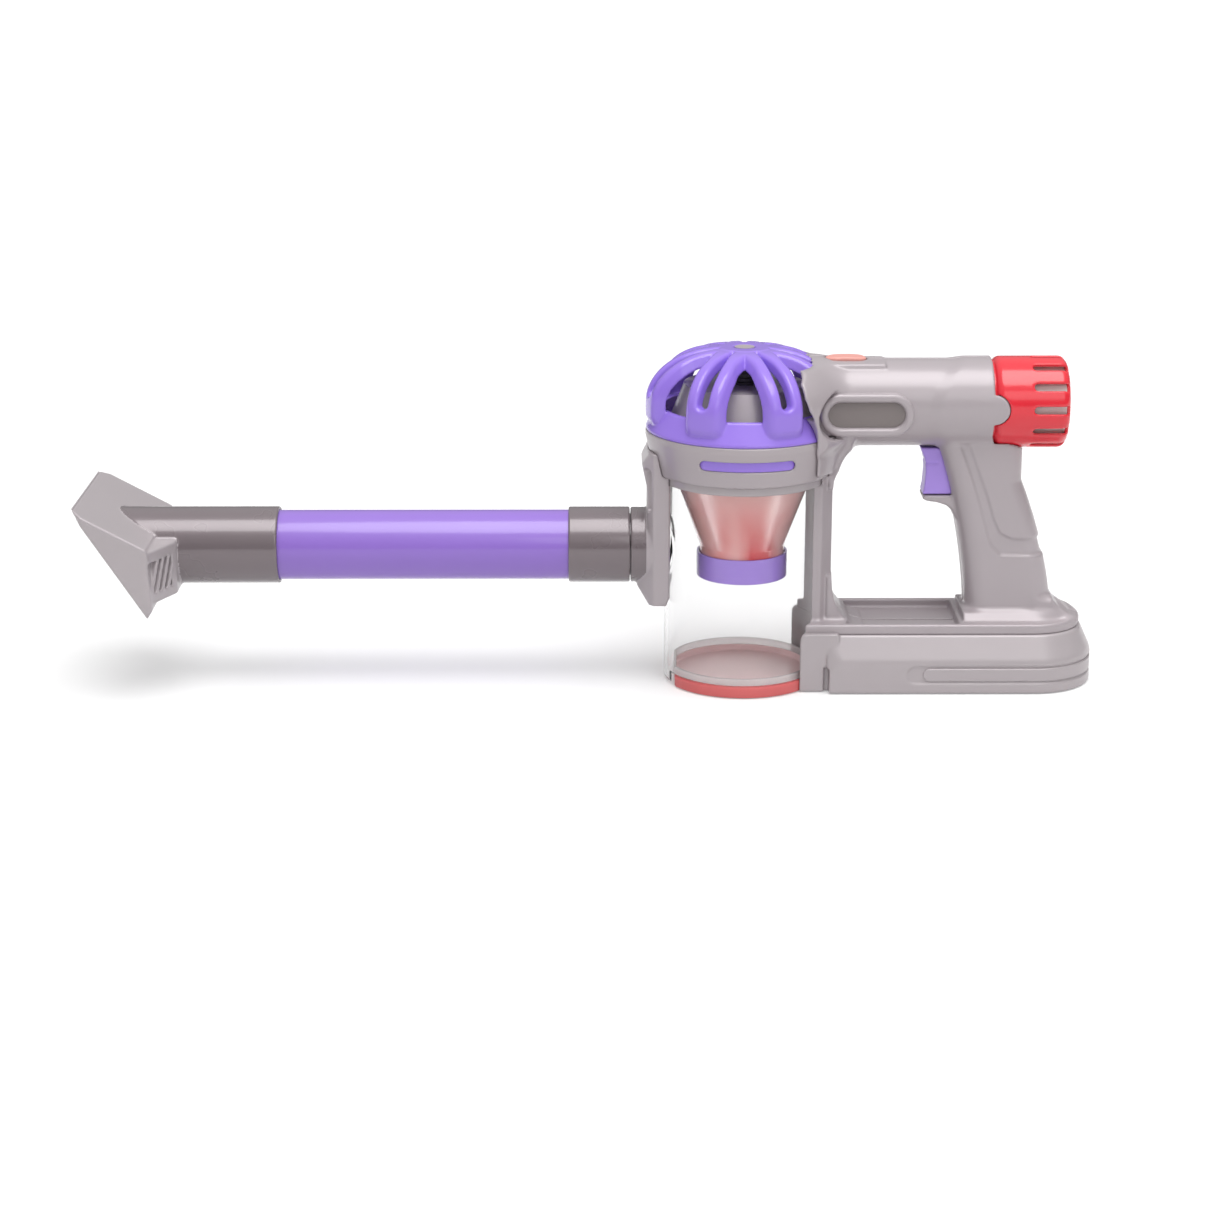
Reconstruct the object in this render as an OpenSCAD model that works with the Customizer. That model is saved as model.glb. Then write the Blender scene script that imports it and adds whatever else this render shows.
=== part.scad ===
// Toy stick vacuum cleaner: a handle body with a clear bin, a cyclone top, a wand and a floor head.
// +X runs to the rear of the handle, +Y to the far side and +Z up.
// The origin lies on the axis of the bin, at the flat underside of the bin lid.

/* [Bin] */
// Outside diameter of the clear bin
bin_d = 86; // [80:1:92]
// Wall of the clear bin
bin_wall = 1.8; // [1.2:0.1:2.6]
// Thickness of the bin lid
lid_h = 6.5; // [6.2:0.1:8]
// Floor of the lid under its hollow
lid_floor = 3; // [2:0.25:5]
// Height of the lid's ring that enters the bin
plug_h = 4; // [2:0.5:6]
// Wall of that ring
plug_wall = 1.6; // [1:0.1:2.5]
// Distance of the hinge axis from the bin's side
hinge_out = 4.5; // [4.2:0.1:5.5]
// Radius of the hinge pin
pin_r = 1.5; // [1:0.1:1.8]
// Wall of the hinge knuckles round the pin
knuckle_wall = 1.4; // [1:0.1:1.5]
// Length of the middle knuckle, on the base
knuckle_w = 14; // [10:1:18]
// Width of each hinge arm of the lid
arm_w = 6; // [4:0.5:8]

/* [Cyclone] */
// Height of the cyclone ring's lower edge above the floor
ring_z = 120; // [116:1:124]
// Height of the cyclone ring
ring_h = 23; // [20:0.5:26]
// Diameter of the cyclone ring at its top
ring_d = 108; // [104:1:112]
// Diameter of the cyclone ring at its lower edge
ring_low_d = 99; // [96:1:102]
// Wall of the cyclone ring
ring_wall = 2.5; // [1.8:0.1:3]
// Height of the bin collar
collar_h = 5.2; // [4:0.2:7]
// Diameter of the bin collar
collar_d = 92.4; // [91:0.2:95]
// Wall of the bin collar
collar_wall = 3; // [2:0.1:4]
// Length of the slot in the front of the ring
slot_w = 51; // [40:1:60]
// Height of that slot
slot_h = 5.6; // [4:0.2:7]
// Distance from the ring's top edge to the slot
slot_drop = 8; // [4:0.2:8]
// Height of the cyclone cover above the ring
dome_h = 45; // [42:1:48]
// Height of the cover's upright band
band_h = 15.5; // [14.5:0.5:18]
// Thickness of that band
band_wall = 3.5; // [2.5:0.1:4.5]
// Depth of the cover's ribs
rib_depth = 6.5; // [5:0.5:8]
// Diameter of the cover's flat hub
hub_d = 28; // [24:1:30]
// Number of window pairs round the cover
window_count = 7; // [5:1:8]
// Angle that a wide window takes
window_angle = 30.8; // [24:0.2:33]
// Angle that a narrow window takes
gap_angle = 9.6; // [6:0.2:11]
// Height of the wide windows' sill above the ring
window_sill = 12.7; // [11:0.1:14]
// Height of the narrow windows' sill above the ring
gap_sill = 20; // [17:0.5:24]
// Radius that the band slopes in to between the rib pairs
slope_r = 47.3; // [46:0.1:49]
// Diameter of the cap in the hub
hub_cap_d = 11; // [8:0.5:14]

/* [Motor and fan] */
// Diameter of the motor housing's foot
housing_d = 88; // [84:1:92]
// Diameter of the motor housing's top
housing_top_d = 66; // [56:1:70]
// Height of the motor housing
housing_h = 25; // [20:0.5:27]
// Wall of the motor housing
housing_wall = 2; // [1.4:0.1:2.6]
// Diameter of the ribbed column on the housing
column_d = 18; // [14:1:22]
// Number of its ribs
column_ribs = 5; // [3:1:7]
// Diameter of the motor
motor_d = 24; // [20:0.5:26]
// Length of the motor
motor_len = 29; // [24:0.5:30]
// Radius of the motor shaft
shaft_r = 1; // [0.8:0.1:1.5]
// Diameter of the fan wheel
fan_d = 72; // [60:1:76]
// Height of the fan's blades
blade_h = 5.5; // [4:0.5:6.5]
// Number of fan blades
blade_count = 8; // [6:1:12]

/* [Shroud] */
// Diameter of the shroud cone at its top
shroud_d = 77; // [72:1:79]
// Diameter of the shroud's lower sleeve
sleeve_d = 47; // [42:0.5:50]
// Wall of the shroud
shroud_wall = 1.6; // [1.2:0.1:2.4]
// Height of the sleeve's upper end above the floor
sleeve_top_z = 77.5; // [75:0.5:84]
// Height of the purple ring's lower edge above the floor
shroud_ring_z = 59.8; // [54:0.2:64]
// Height of the purple ring
shroud_ring_h = 13.8; // [10:0.2:15]
// Wall of the purple ring
shroud_ring_wall = 1.4; // [1:0.1:2]

/* [Wand] */
// Height of the wand's axis above the floor
wand_z = 76.5; // [74:0.5:80]
// Outside diameter of the wand tube
tube_d = 38.6; // [37:0.2:40]
// Wall of the wand tube
tube_wall = 2.3; // [1.5:0.1:3]
// Length of the wand tube that shows
tube_len = 160; // [120:1:220]
// Length of the tube inside each socket
tube_seat = 10; // [6:1:11]
// Diameter of the rear cuff
cuff_d = 42; // [41.2:0.2:43]
// Length of the rear cuff
cuff_len = 33.8; // [30:0.2:44]
// Outside diameter of the inlet spigot
spigot_d = 34.4; // [30:0.2:35]
// Wall of the inlet spigot
spigot_wall = 2; // [1.4:0.1:3]
// Length of the spigot inside the cuff
spigot_len = 20; // [14:1:23]
// Thickness of the inlet bracket in front of the bin
bracket_t = 10; // [8:0.5:13]
// Width of the inlet bracket
bracket_w = 44; // [42.5:0.5:48]
// Length of the collar on the bracket
inlet_collar_len = 9; // [6:0.5:12]
// Distance that the bracket's foot reaches below the wand's axis
bracket_drop = 30; // [27:0.5:34]

/* [Floor head] */
// Width of the floor head
head_w = 100; // [86:1:120]
// Length of the head from its back wall to its front edge
head_len = 40.5; // [36:0.5:46]
// Height of the front edge above the wand's axis
head_front_up = 31.8; // [29:0.2:36]
// Height of the back wall's top above the wand's axis
head_back_up = 10; // [6:0.5:14]
// Distance of the mouth's rear edge below the wand's axis
head_back_down = 28.8; // [26:0.2:34]
// Wall of the head
head_wall = 2.2; // [1.6:0.1:3]
// Chamfer at the front corners of the head
head_chamfer = 6; // [3:0.5:9]
// Diameter of the neck
neck_d = 42.6; // [41.6:0.2:44]
// Length of the neck behind the head
neck_len = 67; // [50:1:80]

/* [Barrel] */
// Height of the barrel's axis above the floor
barrel_z = 157.3; // [156:0.1:160]
// Diameter of the barrel
barrel_d = 48; // [47:0.5:50]
// Diameter of the barrel's wider rear part
rear_d = 50.2; // [49:0.2:52]
// Distance of the barrel's rear end from the bin's axis
barrel_end = 134.6; // [132:0.5:140]
// Length of the wider rear part
rear_len = 23; // [18:0.5:25]
// Length of its shoulder
shoulder_len = 8; // [5:0.5:12]
// Wall of the body shells
shell_wall = 2; // [1.4:0.1:2.6]
// Radius of the round tab that locks the rear cap
tab_r = 8.2; // [6:0.2:10]
// Length of the rear cap
cap_len = 41.4; // [36:0.2:48]
// Wall of the rear cap
cap_wall = 2; // [1.4:0.1:2.6]
// Number of slots round the rear cap
cap_slots = 12; // [8:1:16]
// Length of the slots
cap_slot_len = 20; // [14:1:24]
// Width of the slots
cap_slot_w = 4; // [3:0.2:5]
// Diameter of the filter core
filter_d = 41; // [34:0.5:43]

/* [Controls] */
// Width of the trigger
trigger_w = 15; // [11:0.5:18]
// Height of the trigger
trigger_h = 26; // [22:0.5:28]
// Travel of the trigger
trigger_travel = 5; // [3:0.5:6]
// Length of the top button
button_len = 22.4; // [20:0.2:23]
// Width of the top button
button_w = 11; // [8:0.5:13]
// Thickness of the top button
button_h = 3; // [2.4:0.1:4]
// Travel of the top button
button_travel = 1.6; // [1:0.1:1.8]
// Length of the badge bezel
badge_len = 51.2; // [46:0.2:54]
// Height of the badge bezel
badge_h = 23.6; // [20:0.2:25]
// Width of the bezel's rim
badge_rim = 4; // [3:0.2:5]

/* [Handle] */
// Half width of the strut where it holds the bin
strut_half_w = 22; // [20:0.5:30]
// Thickness of the strut behind the bin
strut_t = 5.5; // [5:0.5:8]
// Thickness of the grip
grip_w = 32; // [28:0.5:36]
// Distance of the grip's front from the bin's axis at the barrel
grip_front_top = 106; // [104:0.5:108]
// Distance of the grip's front from the bin's axis at the foot
grip_front_foot = 124.5; // [121:0.5:127]
// Depth of the grip at the barrel
grip_depth_top = 47; // [44:0.5:49]
// Height below which the grip's rear runs out to the foot
grip_neck_z = 115; // [105:1:122]
// Depth of the grip at the foot
grip_depth_foot = 48; // [45:0.5:51]
// Corner radius of the grip
grip_round = 11; // [8:0.5:13]
// Height of the foot rails
rail_h = 5.5; // [4:0.5:7]
// Width of the foot over its rails
foot_w = 55; // [52:0.5:57]
// Thickness of the rails
rail_t = 3.5; // [2.5:0.5:5]

/* [Base] */
// Width of the base
base_w = 70; // [67:0.5:76]
// Width of the base at its top
base_top_w = 57; // [54:0.5:62]
// Height of the base's upright sides
side_h = 18; // [17:0.5:20]
// Height of the base
base_h = 32; // [30:0.5:34]
// Distance of the base's rear end from the bin's axis
base_end = 196; // [188:1:204]
// Wall of the base
base_wall = 2.2; // [1.6:0.1:2.8]
// Half width of the block that holds the bin
block_half_w = 31; // [30:0.5:33]
// Start of the base's wide part behind the bin
base_out = 3; // [2:0.5:5]
// Height of the trim strip
trim_h = 7.5; // [5:0.5:9]
// Start of the trim strip from the bin's axis
trim_x = 99; // [90:1:110]
// Diameter of a cell
cell_d = 14.5; // [14:0.1:14.8]
// Length of a cell
cell_len = 50.5; // [49:0.5:51]
// Thickness of the bottom cover
cover_t = 2; // [1.6:0.1:2.6]

/* [Clearances] */
// Gap between fixed pieces that meet on curved faces
fit = 0.2; // [0.1:0.05:0.3]
// Gap round pieces that move
run = 0.45; // [0.4:0.05:0.7]
// Gap between the bin or lid and what holds it
saddle_gap = 0.5; // [0.45:0.05:0.7]
// Gap between the wand's tubes and the sockets that they slide or turn in
slide_gap = 0.3; // [0.2:0.05:0.5]
// Gap round turning shafts and pins
pivot_gap = 0.05; // [0.03:0.01:0.08]

/* [Hidden] */
$fn = 64;
far = 200;
bin_r = bin_d / 2;
bin_in_r = bin_r - bin_wall;
bin_z = lid_h + saddle_gap;
plug_gap = 0.7;
plug_r = bin_in_r - plug_gap;
hinge_x = bin_r + hinge_out;
hinge_z = lid_h / 2;
knuckle_r = pin_r + knuckle_wall;
arm_y = knuckle_w / 2 + run;
arm_len = 14;
lid_swing = 0.8;
pin_len = 2 * (arm_y + arm_w);
catch_x = bin_r - 5.5;
skirt_gap = 1.5;
skirt_z = 1.5;

ring_r = ring_d / 2;
ring_low_r = ring_low_d / 2;
ring_top = ring_z + ring_h;
ring_lip = 2;
shelf_r = housing_d / 2 - 8;
shelf_h = 3;
collar_r = collar_d / 2;
collar_in_r = collar_r - collar_wall;
bin_neck_r = collar_in_r - fit;
bin_neck_in_r = bin_neck_r - bin_wall;
shroud_gap = 1.5;
shroud_r = min(shroud_d / 2, bin_neck_in_r - shroud_gap);
lip_r = shroud_r + 2 * shroud_gap;
collar_back = 2.5;
collar_z = ring_z - collar_h;
bin_shoulder_z = collar_z - 2 * collar_h;
flange_h = 1.6;
flange_z = ring_z - fit - flange_h;
bin_top = flange_z - fit;
slot_z = ring_top - slot_drop - slot_h;
slot_r = ring_low_r + (ring_r - ring_low_r) * (slot_z - ring_z) / ring_h;
insert_t = 2.6;
insert_sink = 0.8;
insert_r = slot_r - insert_sink;

dome_top = ring_top + dome_h;
hub_step = 0.3;
crown_h = dome_h - band_h - hub_step;
hub_r = hub_d / 2;
crown_r = hub_r - 1.3;
pattern_turn = -2.4;
window_step = 360 / window_count;
slope_from = 1.5;
body_sector = 55;
band_step = 0.3;
hub_t = rib_depth + 1;
rib_turns = [for (i = [0:window_count - 1]) -90 + pattern_turn + (i + 0.5) * window_step];
hub_cap_r = hub_cap_d / 2;
hub_cap_t = 1.5;

housing_r = housing_d / 2;
housing_foot = 2;
housing_top = ring_top + housing_h;
motor_r = motor_d / 2;
motor_top = housing_top - housing_wall - fit;
motor_z = motor_top - motor_len;
motor_boss_r = 4;
motor_boss_h = 2;
column_top = dome_top - hub_t - fit;
fan_gap = 1;
fan_disc = 1.5;
fan_top = motor_z - motor_boss_h - fan_gap;
fan_low = fan_top - fan_disc - blade_h;
fan_hub_r = 5;
blade_t = 1.4;

sleeve_r = sleeve_d / 2;
sleeve_low = shroud_ring_z - 0.5;

tube_r = tube_d / 2;
spigot_r = spigot_d / 2;
cuff_r = cuff_d / 2;
neck_r = neck_d / 2;
bracket_x = -max(bin_r + bracket_t, collar_r + collar_back);
seam_x = bracket_x - inlet_collar_len;
wand_x = seam_x - saddle_gap;
cuff_x = wand_x - cuff_len;
neck_x = cuff_x - tube_len;
bracket_in_x = -bin_r + 2.5;
bracket_foot = wand_z - bracket_drop;

head_x = neck_x - neck_len;
head_front = head_x - head_len;
sole_t = 2;
sole_rim = 14;
head_heel = 1.8;

barrel_r = barrel_d / 2;
rear_r = rear_d / 2;
rear_in_r = rear_r - shell_wall;
cap_end = barrel_end + cap_len;
cap_in_r = rear_r - cap_wall;
filter_r = filter_d / 2;
cap_hole_r = filter_r * 0.6;
seat_len = 5;

strut_x = max(bin_r + strut_t, collar_r + collar_back);
strut_in_x = bin_r * 0.7;
strut_edge_x = bin_r - 5;
strut_corner = 8;
trough_x = strut_x + 8;
trough_end = grip_front_foot - 5;
heel_h = 8;
web_w = 2 * (strut_half_w - 3);
web_top = 20;
web_top_reach = 8;
web_foot = 26;
web_reach = 17;
saddle_angle = 90;
saddle_t = 3;
cheek_angle = 106;
cheek_t = 2;
bracket_bulge = 5.5;
grip_top_z = barrel_z - barrel_r + 1;
strut_join_z = barrel_z - barrel_r + 10;
foot_z = base_h + rail_h;
rear_cx = base_end - base_w / 2;
base_x = bin_r + base_out;
grip_bow = 7;
grip_front_mid = (grip_front_top + grip_front_foot) / 2 + grip_bow;
grip_back_top = grip_front_top + grip_depth_top;
grip_back_foot = grip_front_foot + grip_depth_foot;
grip_sweep = 16;
grip_join_z = barrel_z - sqrt(barrel_r * barrel_r - grip_w * grip_w / 4) + 1;
grip_levels = [
    foot_z - 0.1,
    foot_z + (grip_neck_z - foot_z) / 3,
    foot_z + (grip_neck_z - foot_z) * 2 / 3,
    grip_neck_z,
    grip_join_z
];
trigger_z = barrel_z - barrel_r - 0.6 - trigger_h;
trigger_x = grip_front_top - 9;
trigger_back = grip_front_top + 13.5;
trigger_d = trigger_back - trigger_x;
shelf_z = trigger_z - run;
guard_t = 6;
switch_x = trigger_back + trigger_travel + 7;
switch_len = 10;
switch_h = 14;
switch_w = 10;
switch_z = trigger_z + trigger_h / 2 - switch_h / 2;
trigger_spring_r = 3;

button_x = 55.3;
button_top = barrel_z + barrel_r + 1.7;
button_low = button_top - button_h;
stem_x = 62;
stem_r = 3;
button_spring_r = 4.5;
spring_wire = 0.8;
board_z = barrel_z + 7.7;
board_t = 1.6;
board_x = 58.5;
board_len = 30;
board_w = 26;
key_h = 3.6;
stem_low = board_z + board_t + key_h + button_travel + run;
badge_x = 65.3;
badge_z = barrel_z - 2.2;
badge_out = barrel_r + 3.2;
badge_depth = 12;
plate_t = 1.2;

boss_r = 3.4;
tray_t = 1.5;
cell_z = cover_t + fit + cell_d / 2;
cell_pitch = cell_d + 1.2;
cell_x = 82;
cell_gap = 0.4;
cell_nub = 1;
contact_w = 10;
contact_r = 3.5;
spring_len = 6;
contact_t = 0.6;
tray_x = cell_x - cell_gap - contact_t - fit;
tray_len = cell_len + spring_len + 2 * (cell_gap + contact_t + fit);
tray_w = 3 * cell_pitch + 2;
door_step = 1;
door_x = tray_x + door_step;
door_len = tray_len - 2 * door_step;
door_w = tray_w - 4 * door_step;
door_tab = 2 * (door_step + tray_t + boss_r + run);
cover_head_h = 1.2;
cover_screw_len = 6;
trim_z = 7;
trim_depth = 1.4;
trim_gap = 1.6;
trim_lead = 9;
block_x = bin_r * 0.6;
block_end = hinge_x + knuckle_r + run + 2;
screw_r = 1.3;
screw_head_r = 2.6;
screw_head_h = 2;

screw_sink = 1;
screw_cover = 3;
cover_screw_in = 8;
cover_screw_half = 20;
grip_screw_low = foot_z + (grip_top_z - foot_z) / 4;
grip_screw_high = foot_z + (grip_top_z - foot_z) * 0.6;
// Screws of the body halves: distance from the bin's axis, height, and half length of the boss
body_screw_places = [
    [barrel_end - rear_len / 2, barrel_z + rear_r * 0.6, rear_r * 0.8 - screw_sink],
    [trigger_x - boss_r, barrel_z - barrel_r * 0.6, barrel_r * 0.8 - screw_sink],
    [grip_middle(grip_screw_high), grip_screw_high, grip_w / 2 - screw_sink],
    [grip_middle(grip_screw_low), grip_screw_low, grip_w / 2 - screw_sink]
];
// Screws of the base: four for the cover, then the one of the battery door
cover_screw_places = [
    [block_end + cover_screw_in, -cover_screw_half],
    [block_end + cover_screw_in, cover_screw_half],
    [rear_cx + cover_screw_in / 2, -cover_screw_half],
    [rear_cx + cover_screw_in / 2, cover_screw_half],
    [door_x + door_len + door_tab / 2, 0]
];

// Point on a quadratic curve
function bow(a, b, c, t) = (1 - t) * (1 - t) * a + 2 * t * (1 - t) * b + t * t * c;

// Front and rear of the grip at a height
function grip_share(z) = (grip_top_z - z) / (grip_top_z - foot_z);
function grip_middle(z) = (grip_front(z) + grip_rear(z)) / 2;
function neck_share(z) = (grip_neck_z - z) / (grip_neck_z - foot_z);
function grip_front(z) =
    bow(grip_front_top, grip_front_mid, grip_front_foot, grip_share(z));
function grip_rear(z) = z > grip_neck_z
    ? grip_back_top
    : bow(grip_back_top, grip_back_top + grip_sweep, grip_back_foot, neck_share(z));

// Where two lines meet, each given by a point and a direction
function meet(p, u, q, v) = p + u * ((q.x - p.x) * v.y - (q.y - p.y) * v.x) / (u.x * v.y - u.y * v.x);
function left_of(u) = [-u.y, u.x] / norm(u);
// Outline with each edge moved inwards by its own distance; the points run anticlockwise
function inset(p, d) = [
    for (i = [0:len(p) - 1])
    let (
        k = (i + len(p) - 1) % len(p),
        u = p[i] - p[k],
        v = p[(i + 1) % len(p)] - p[i]
    )
    meet(p[k] + left_of(u) * d[k], u, p[i] + left_of(v) * d[i], v)
];

function reversed(v) = [for (i = [len(v) - 1:-1:0]) v[i]];

// Outer curve of the cyclone cover from the band up to the hub, drawn in by a depth
function dome_curve(depth) = [
    for (a = [0:9:90])
    [crown_r + (ring_r - crown_r - depth) * cos(a), ring_top + band_h + (crown_h - depth) * sin(a)]
];

// Tube or rod along X at a height
module rod_x(x0, x1, z, r) {
    translate([x0, 0, z]) rotate([0, 90, 0]) cylinder(r = r, h = x1 - x0);
}

// Rod along Y
module rod_y(x, z, r, y0, y1) {
    translate([x, y0, z]) rotate([-90, 0, 0]) cylinder(r = r, h = y1 - y0);
}

module tube_z(r_out, r_in, z0, z1) {
    difference() {
        translate([0, 0, z0]) cylinder(r = r_out, h = z1 - z0);
        translate([0, 0, z0 - 1]) cylinder(r = r_in, h = z1 - z0 + 2);
    }
}

// Side view drawn in X and Z, made as thick as w along Y
module side_plate(w) {
    rotate([90, 0, 0]) translate([0, 0, -w / 2]) linear_extrude(w) children();
}

module stadium(length, width) {
    square([length - width, width], center = true);
    for (s = [-1, 1]) translate([s * (length - width) / 2, 0]) circle(d = width);
}

// Round of the bin up to its shoulder, and of its neck above that where the collar asks for another radius
module bin_round(r, neck, low, high) {
    same = abs(r - neck) < fit / 2;
    translate([0, 0, low]) cylinder(r = r, h = (same ? high : bin_shoulder_z) - low);
    if (!same) {
        translate([0, 0, bin_shoulder_z]) cylinder(r1 = r, r2 = neck, h = collar_z - fit - bin_shoulder_z);
        translate([0, 0, collar_z - fit]) cylinder(r = neck, h = high - collar_z + fit);
    }
}

// Everything that the bin, collar, ring and cover take up, with a gap round it
module tower_space(gap) {
    bin_round(bin_r + gap, bin_neck_r + gap, -1, collar_z);
    rotate_extrude() polygon(concat(
        [
            [0, collar_z - fit],
            [collar_r + gap, collar_z - fit],
            [collar_r + gap, ring_z - fit],
            [ring_low_r + gap, ring_z - fit],
            [ring_r + gap, ring_top],
            [ring_r + gap, ring_top + slope_from],
            [slope_r + gap, ring_top + window_sill - gap],
            [ring_r + gap, ring_top + window_sill - gap]
        ],
        [for (p = dome_curve(0)) p + [gap, gap]],
        [[0, dome_top + gap]]
    ));
}

module bin_lid() {
    color([0.86, 0.2, 0.24]) difference() {
        union() {
            cylinder(r = bin_r, h = lid_h);
            cylinder(r = plug_r, h = lid_h + plug_h);
            for (s = [-1, 1]) lid_arm(s);
        }
        intersection() {
            translate([0, 0, lid_floor]) cylinder(r = plug_r - plug_wall, h = lid_h + plug_h);
            translate([plug_wall - catch_x, -far / 2, 0]) cube([far, far, far]);
        }
        rod_y(hinge_x, hinge_z, pin_r + pivot_gap, -far, far);
        translate([-far - catch_x, -far / 2, -1]) cube([far, far, far]);
    }
}

module lid_arm(side) {
    y0 = side > 0 ? arm_y : -arm_y - arm_w;
    translate([hinge_x - arm_len, y0, hinge_z - knuckle_r]) cube([arm_len, arm_w, 2 * knuckle_r]);
    rod_y(hinge_x, hinge_z, knuckle_r, y0, y0 + arm_w);
}

module lid_hinge_pin() {
    color("silver") rod_y(hinge_x, hinge_z, pin_r, -pin_len / 2, pin_len / 2);
}

module clear_bin() {
    pad_x = bracket_in_x + fit;
    color([0.93, 0.95, 0.96, 0.4]) difference() {
        union() {
            bin_round(bin_r, bin_neck_r, bin_z, bin_top);
            intersection() {
                translate([0, 0, skirt_z]) cylinder(r = bin_r, h = bin_z);
                translate([-far - catch_x - skirt_gap, -far / 2, 0]) cube([far, far, far]);
            }
            translate([pad_x, -bracket_w / 2 + 2, bracket_foot + 8])
                cube([bin_r / 2, bracket_w - 4, collar_z - bracket_foot - 10]);
        }
        bin_round(bin_in_r, bin_neck_in_r, -1, far);
        rod_x(-far, -bin_in_r / 2, wand_z, spigot_r + fit);
    }
}

module bin_collar() {
    color([0.72, 0.7, 0.71]) tube_z(collar_r, collar_in_r, collar_z, ring_z);
}

module cyclone_ring() {
    color([0.62, 0.58, 0.6]) difference() {
        rotate_extrude() polygon([
            [lip_r, ring_z],
            [ring_low_r, ring_z],
            [ring_r, ring_top],
            [shelf_r, ring_top],
            [shelf_r, ring_top - shelf_h],
            [ring_r - ring_wall, ring_top - shelf_h],
            [ring_low_r - ring_wall, ring_z + ring_lip],
            [lip_r, ring_z + ring_lip]
        ]);
        difference() {
            slot_prism(slot_w, slot_h);
            cylinder(r = insert_r - insert_t - fit, h = far);
        }
    }
}

// Slot in the front of the ring, from inside it outwards
module slot_prism(length, height) {
    translate([0, -slot_r / 2, slot_z + slot_h / 2]) rotate([90, 0, 0])
        linear_extrude(far) stadium(length, height);
}

module ring_slot_insert() {
    color([0.6, 0.5, 0.85]) intersection() {
        tube_z(insert_r, insert_r - insert_t, slot_z, slot_z + slot_h);
        slot_prism(slot_w - 2 * fit, slot_h - 2 * fit);
    }
}

// Pair of ribs round a narrow window; behind, at the body's collar, its foot stops above the collar
module rib_pair(behind) {
    sill = ring_top + window_sill;
    foot = ring_top + slope_from / 2;
    wall_r = slope_r - band_wall / 2;
    plain_foot = [[ring_r - band_wall / 2, foot], [ring_r, foot]];
    short_foot = [
        [wall_r, sill - 2],
        [slope_r - fit, sill - 2],
        [slope_r - fit, sill + fit],
        [ring_r, sill + fit]
    ];
    angle = window_step - window_angle;
    difference() {
        rotate([0, 0, -angle / 2]) rotate_extrude(angle = angle) polygon(concat(
            behind ? short_foot : plain_foot,
            dome_curve(0),
            reversed(dome_curve(rib_depth)),
            [[wall_r, sill - 1]]
        ));
        rotate([0, 0, -gap_angle / 2]) rotate_extrude(angle = gap_angle)
            translate([hub_r - fit, ring_top + gap_sill]) square([ring_r, dome_h]);
    }
}

module cyclone_cover() {
    lip = ring_r - band_step;
    color([0.6, 0.49, 0.87]) {
        rotate_extrude() polygon([
            [lip - band_wall, ring_top],
            [lip, ring_top],
            [lip, ring_top + slope_from],
            [slope_r, ring_top + window_sill],
            [slope_r - band_wall, ring_top + window_sill]
        ]);
        for (a = rib_turns) rotate([0, 0, a]) rib_pair(cos(a) > cos(body_sector));
        difference() {
            translate([0, 0, dome_top - hub_t]) cylinder(r = hub_r, h = hub_t);
            translate([0, 0, dome_top - hub_cap_t]) cylinder(r = hub_cap_r + fit, h = far);
        }
    }
}

module cover_hub_cap() {
    color([0.7, 0.68, 0.7]) translate([0, 0, dome_top - hub_cap_t]) cylinder(r = hub_cap_r, h = hub_cap_t);
}

module motor_housing() {
    top_r = housing_top_d / 2;
    in_r = motor_r + fit;
    low = motor_z;
    color([0.6, 0.57, 0.58]) rotate_extrude() polygon([
        [housing_r, ring_top],
        [housing_r, ring_top + housing_foot],
        [housing_r - housing_foot, ring_top + housing_foot],
        [top_r, housing_top],
        [motor_boss_r, housing_top],
        [motor_boss_r, housing_top - housing_wall],
        [in_r, housing_top - housing_wall],
        [in_r, low],
        [in_r + housing_wall, low],
        [in_r + housing_wall, housing_top - housing_wall],
        [top_r - housing_wall, housing_top - housing_wall],
        [housing_r - 2 * housing_wall, ring_top]
    ]);
}

module ribbed_column() {
    pitch = (column_top - housing_top) / column_ribs;
    column_r = column_d / 2;
    color([0.16, 0.15, 0.17]) for (i = [0:column_ribs - 1]) translate([0, 0, housing_top + i * pitch]) {
        cylinder(r = column_r, h = pitch * 0.6);
        cylinder(r = column_r - 1.5, h = pitch);
    }
}

module drive_motor() {
    color([0.6, 0.6, 0.62]) difference() {
        union() {
            translate([0, 0, motor_z]) cylinder(r = motor_r, h = motor_len);
            translate([0, 0, motor_z - motor_boss_h]) cylinder(r = motor_boss_r, h = motor_boss_h + 1);
        }
        translate([0, 0, motor_z - motor_boss_h - 1]) cylinder(r = shaft_r + pivot_gap, h = motor_len / 2);
    }
}

module motor_shaft() {
    shaft_top = motor_z - motor_boss_h - 1 + motor_len / 2 - run;
    color("silver") translate([0, 0, fan_low]) cylinder(r = shaft_r, h = shaft_top - fan_low);
}

module fan_wheel() {
    color([0.85, 0.85, 0.87]) difference() {
        union() {
            translate([0, 0, fan_low]) cylinder(r = fan_hub_r, h = fan_top - fan_low);
            translate([0, 0, fan_top - fan_disc]) cylinder(r = fan_d / 2, h = fan_disc);
            for (i = [0:blade_count - 1]) rotate([0, 0, i * 360 / blade_count])
                translate([fan_hub_r - 1, -blade_t / 2, fan_low])
                    cube([fan_d / 2 - fan_hub_r, blade_t, blade_h + fan_disc / 2]);
        }
        translate([0, 0, fan_low - 1]) cylinder(r = shaft_r + pivot_gap, h = far);
    }
}

module shroud_cone() {
    color([0.85, 0.4, 0.42, 0.6]) rotate_extrude() polygon([
        [0, sleeve_low],
        [sleeve_r, sleeve_low],
        [sleeve_r, sleeve_top_z],
        [shroud_r, flange_z],
        [bin_neck_r, flange_z],
        [bin_neck_r, flange_z + flange_h],
        [shroud_r - shroud_wall, flange_z + flange_h],
        [sleeve_r - shroud_wall, sleeve_top_z],
        [sleeve_r - shroud_wall, sleeve_low + shroud_wall],
        [0, sleeve_low + shroud_wall]
    ]);
}

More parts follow.
